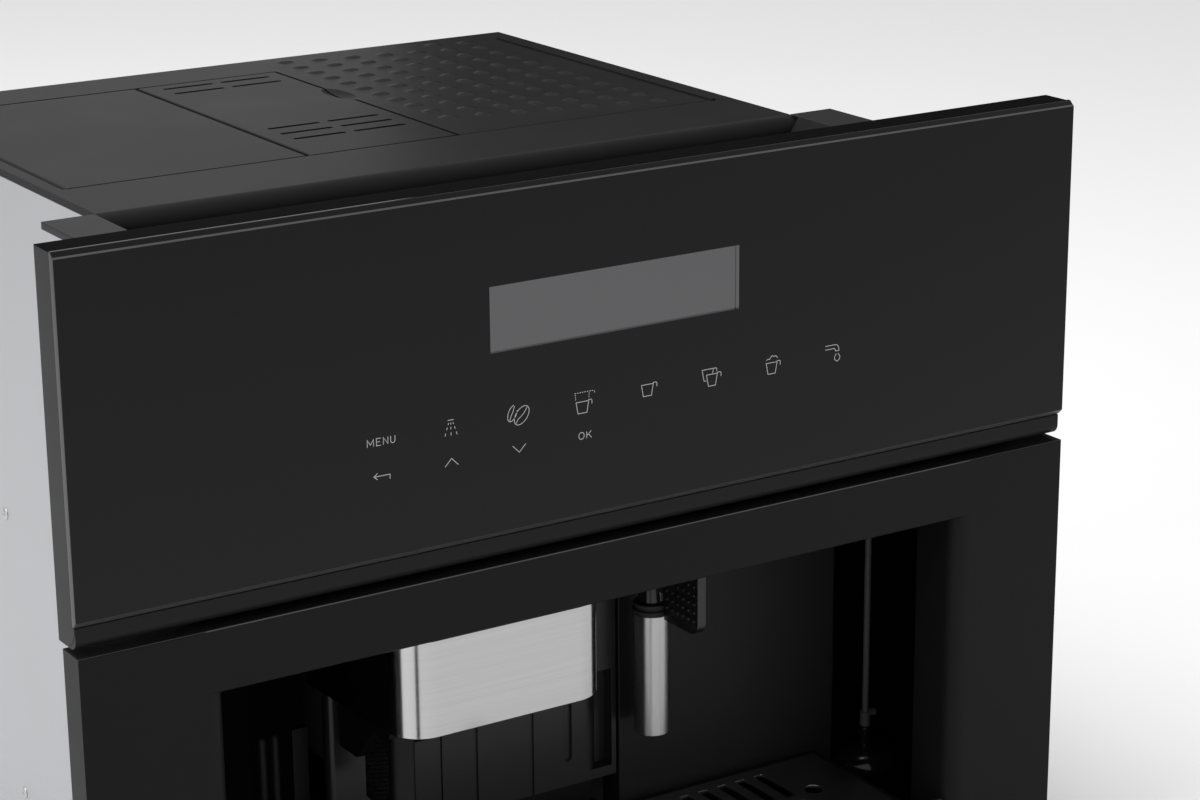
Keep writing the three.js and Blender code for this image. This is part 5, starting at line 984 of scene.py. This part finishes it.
class MACHINE_OT_deck(bpy.types.Operator):
    """Finishes the deck, its lids and brackets, paints shade into the seams with black strips, fills the
    corners and stands the dots on it
    """

    bl_idname = "machine.deck"
    bl_label = "Deck"

    def execute(self, context):
        dots = context.scene.machine_dots
        soften_all(["top_deck", "bean_lid", "chute_lid"], "deck_grey", radius=0.5 * MM)
        soften_all(["bay_cover", "corner_bracket_left", "corner_bracket_right"])
        ready = finishes()
        low, high = DECK_TOP - SEAM_SHADE_DEPTH, DECK_TOP + SHEET_LIFT / MM
        # painted shade: a black strip in each seam
        for name, left, right, front, rear in SEAM_SHADES:
            strip = [(left, low), (right, low), (right, high), (left, high)]
            moulding(name, strip, front, rear, ready["painted_shade_black"], lengthwise=True)
        for name, side in (("corner_fillet_left", -1), ("corner_fillet_right", 1)):
            slope = [(side * FILLET_OUTER, DECK_TOP - FILLET_DROP), (side * FILLET_INNER, FILLET_FOOT),
                     (side * FILLET_OUTER, FILLET_FOOT)]
            moulding(name, slope, FILLET_FRONT, FILLET_REAR, ready["deck_grey"],
                     lengthwise=True)
        dotted_sheet(
            "deck_dots", row(36.0, 212.0, DECK_TOP), along=(1, 0, 0), across=(0, 1, 0), size=(0.158, 0.252),
            lattice=(13.5, 40.5, 21.0, 20.5, -4.6), dome=(dots.deck_radius, dots.deck_height, 0.8),
            body="machine", finish=ready["deck_grey"])
        return {"FINISHED"}


CHANNEL = ((-150.0, 120.0, 30.0), (-117.6, 129.8, 140.0))  # mm, two corners round the ribs and the step


class MACHINE_OT_niche(bpy.types.Operator):
    """Finishes the niche, the service door and its hinge, with painted shade on the niche's ceiling, left
    panel, side pocket and hinge foot, and lays a sheet of painted shade in the side pocket
    """

    bl_idname = "machine.niche"
    bl_label = "Niche and door"

    def execute(self, context):
        # painted shade: the niche's ceiling, its side pocket and the hinge foot are darker than their black
        # plastic
        soften_all(["niche_ceiling", "side_pocket", "door_hinge_foot"], "painted_shade_black", radius=0.4 * MM)
        soften_all(["side_valve"], "gloss_dome", radius=0.4 * MM)
        soften_all(["side_tube"], radius=0.4 * MM)
        soften_all(["niche_panel_right"], "panel_black", radius=0.6 * MM)
        soften_all(["service_door"], "door_black", radius=0.6 * MM)
        self.left_panel()
        self.pocket_floor()
        return {"FINISHED"}

    def left_panel(self):
        """The panel at the left gets painted shade; the ribs and the step in its channel keep the satin black
        plastic.
        """
        ready = finishes()
        panel = softened("niche_panel_left", ready["painted_shade_black"], 0.4 * MM)
        refinish(panel, ready["satin_black"], *CHANNEL)

    def pocket_floor(self):
        """A thin sheet of painted shade covers the coated floor of the side pocket and the inside of its rim:
        three flat strips, level, upright and level again, from the front of the pocket to its back."""
        bends = ((222.0, 33.55), (286.4, 33.55), (286.4, 41.55), (288.0, 41.55))
        ends = (38.2, 150.0)
        points = [row(x, depth, z) for x, z in bends for depth in ends]
        faces = grid_faces(len(bends), len(ends))
        shade_sheet = looking(mesh_object("pocket_shade_sheet", points, faces, smooth=False), (0.0, 0.0, 1.0))
        dress(shade_sheet, finishes()["painted_shade_black"], "machine")


class MACHINE_OT_spout(bpy.types.Operator):
    """Finishes the steel spout cover and the nozzle block, with a dotted grip at its side"""

    bl_idname = "machine.spout"
    bl_label = "Spout"

    def execute(self, context):
        dots = context.scene.machine_dots
        soften_all(["spout_cover"], radius=0.35 * MM)
        soften_all(["nozzle_block"], radius=1.2 * MM, segments=3)
        soften_all(["nozzle_left", "nozzle_right"], "turned_steel", radius=0.3 * MM)
        dotted_sheet(
            "spout_grip", row(-105.5, 84.0, 113.0), along=(0, -1, 0), across=(0, 0, 1), size=(0.025, 0.040),
            lattice=(2.0, 2.0, 3.0, 2.45, 1.22), dome=(dots.handle_radius, dots.handle_height, 0.55),
            body="spout", finish=finishes()["grip_black"], patch=True)
        return {"FINISHED"}


class MACHINE_OT_wand(bpy.types.Operator):
    """Finishes the hot water wand, its sleeve and collar, with dots on its tab"""

    bl_idname = "machine.wand"
    bl_label = "Wand"

    def execute(self, context):
        dots = context.scene.machine_dots
        soften_all(["wand_arm", "wand_socket", "wand_valve"], "gloss_dome", radius=0.8 * MM)
        soften_all(["wand_collar"], radius=0.3 * MM)
        soften_all(["wand_sleeve"], "turned_steel", radius=0.4 * MM)
        dotted_sheet(
            "wand_tab_dots", row(80.0, 77.2, 180.0), along=(0, -1, 0), across=(0, 0, 1), size=(0.031, 0.056),
            lattice=(2.6, 3.2, 5.25, 5.0, 0.0), dome=(dots.tab_radius, dots.tab_height, 0.55),
            body="wand", finish=finishes()["grip_black"])
        return {"FINISHED"}


class MACHINE_OT_tray(bpy.types.Operator):
    """Finishes the drip tray, the cup grid, the float and the grounds bin"""

    bl_idname = "machine.tray"
    bl_label = "Tray"

    def execute(self, context):
        soften_all(["drip_tub", "grounds_bin", "level_float"], radius=0.4 * MM)
        soften_all(["tray_front"], "satin_black", radius=0.5 * MM)
        soften_all(["cup_grid"], "grid_steel", radius=0.3 * MM)
        return {"FINISHED"}


SIDE_SCREW_DEPTHS, SIDE_SCREW_HEIGHTS = (160.0, 300.0, 452.0), (60.0, 230.0, 405.0)  # mm
REAR_SCREW_PLACES, REAR_SCREW_HEIGHTS = (-204.0, -70.0, 70.0, 204.0), (44.0, 236.0, 420.0)  # mm


class MACHINE_OT_case(bpy.types.Operator):
    """Finishes the chassis sheets, the runners and the fasteners that hold them"""

    bl_idname = "machine.case"
    bl_label = "Case"

    def execute(self, context):
        soften_all([
            "floor_tray", "side_panel_left", "side_panel_right", "rear_panel", "motor_stand",
            "runner_machine_left", "runner_machine_right", "runner_middle_left", "runner_middle_right",
            "cabinet_frame",
        ], radius=0.3 * MM)
        soften_all(["mains_inlet", "rocker_switch"], radius=0.4 * MM)
        finish = finishes()["screw_steel"]
        for side, corner, sign in (("left", 0, -1), ("right", 1, 1)):
            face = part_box("side_panel_" + side)[corner].x
            places = [np.array([face, (depth - HALF_DEPTH) * MM, z * MM])
                      for depth in SIDE_SCREW_DEPTHS for z in SIDE_SCREW_HEIGHTS]
            screw_heads("side_screws_" + side, places, (sign, 0, 0), finish)
        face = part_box("rear_panel")[1].y
        places = [np.array([x * MM, face, z * MM]) for x in REAR_SCREW_PLACES for z in REAR_SCREW_HEIGHTS]
        screw_heads("rear_screws", places, (0, 1, 0), finish)
        return {"FINISHED"}


class MACHINE_OT_works(bpy.types.Operator):
    """Finishes the bean hopper, the grinder, the brew group, the boiler, the pump and the boards"""

    bl_idname = "machine.works"
    bl_label = "Works"

    def execute(self, context):
        soften_all([
            "bean_hopper", "ground_chute", "grinder_housing", "burr_ring", "burr_cone", "grinder_motor",
            "grind_dial", "brew_frame", "brew_piston", "boiler", "pump", "power_board",
        ], radius=0.4 * MM)
        return {"FINISHED"}


class MACHINE_OT_tank(bpy.types.Operator):
    """Finishes the water tank, its lid and the bail"""

    bl_idname = "machine.tank"
    bl_label = "Water tank"

    def execute(self, context):
        soften_all(["water_tank", "tank_lid", "tank_bail"], radius=0.5 * MM)
        return {"FINISHED"}


OPERATORS = (
    MACHINE_OT_stage,
    MACHINE_OT_front,
    MACHINE_OT_print,
    MACHINE_OT_deck,
    MACHINE_OT_niche,
    MACHINE_OT_spout,
    MACHINE_OT_wand,
    MACHINE_OT_tray,
    MACHINE_OT_case,
    MACHINE_OT_works,
    MACHINE_OT_tank,
)


class MACHINE_PT_dresser(bpy.types.Panel):
    """Lists the settings and the steps that dress the machine"""

    bl_idname = "MACHINE_PT_dresser"
    bl_label = "Coffee Machine"
    bl_space_type = "VIEW_3D"
    bl_region_type = "UI"
    bl_category = "Coffee Machine"

    def draw(self, context):
        for name, kind in SETTINGS:
            settings = getattr(context.scene, name)
            box = self.layout.box()
            for label in kind.__annotations__:
                box.prop(settings, label)
        for operator in OPERATORS:
            self.layout.operator(operator.bl_idname)


SETTINGS = (
    ("machine_glass", GlassSettings),
    ("machine_dots", DotSettings),
    ("machine_finish", FinishSettings),
    ("machine_stage", StageSettings),
)


def register():
    for name, kind in SETTINGS:
        bpy.utils.register_class(kind)
        setattr(bpy.types.Scene, name, bpy.props.PointerProperty(type=kind))
    for kind in (*OPERATORS, MACHINE_PT_dresser):
        bpy.utils.register_class(kind)


def unregister():
    for kind in reversed((*OPERATORS, MACHINE_PT_dresser)):
        bpy.utils.unregister_class(kind)
    for name, kind in reversed(SETTINGS):
        delattr(bpy.types.Scene, name)
        bpy.utils.unregister_class(kind)


def main():
    register()
    for operator in OPERATORS:
        group, name = operator.bl_idname.split(".")
        getattr(getattr(bpy.ops, group), name)()


if __name__ == "__main__":
    main()
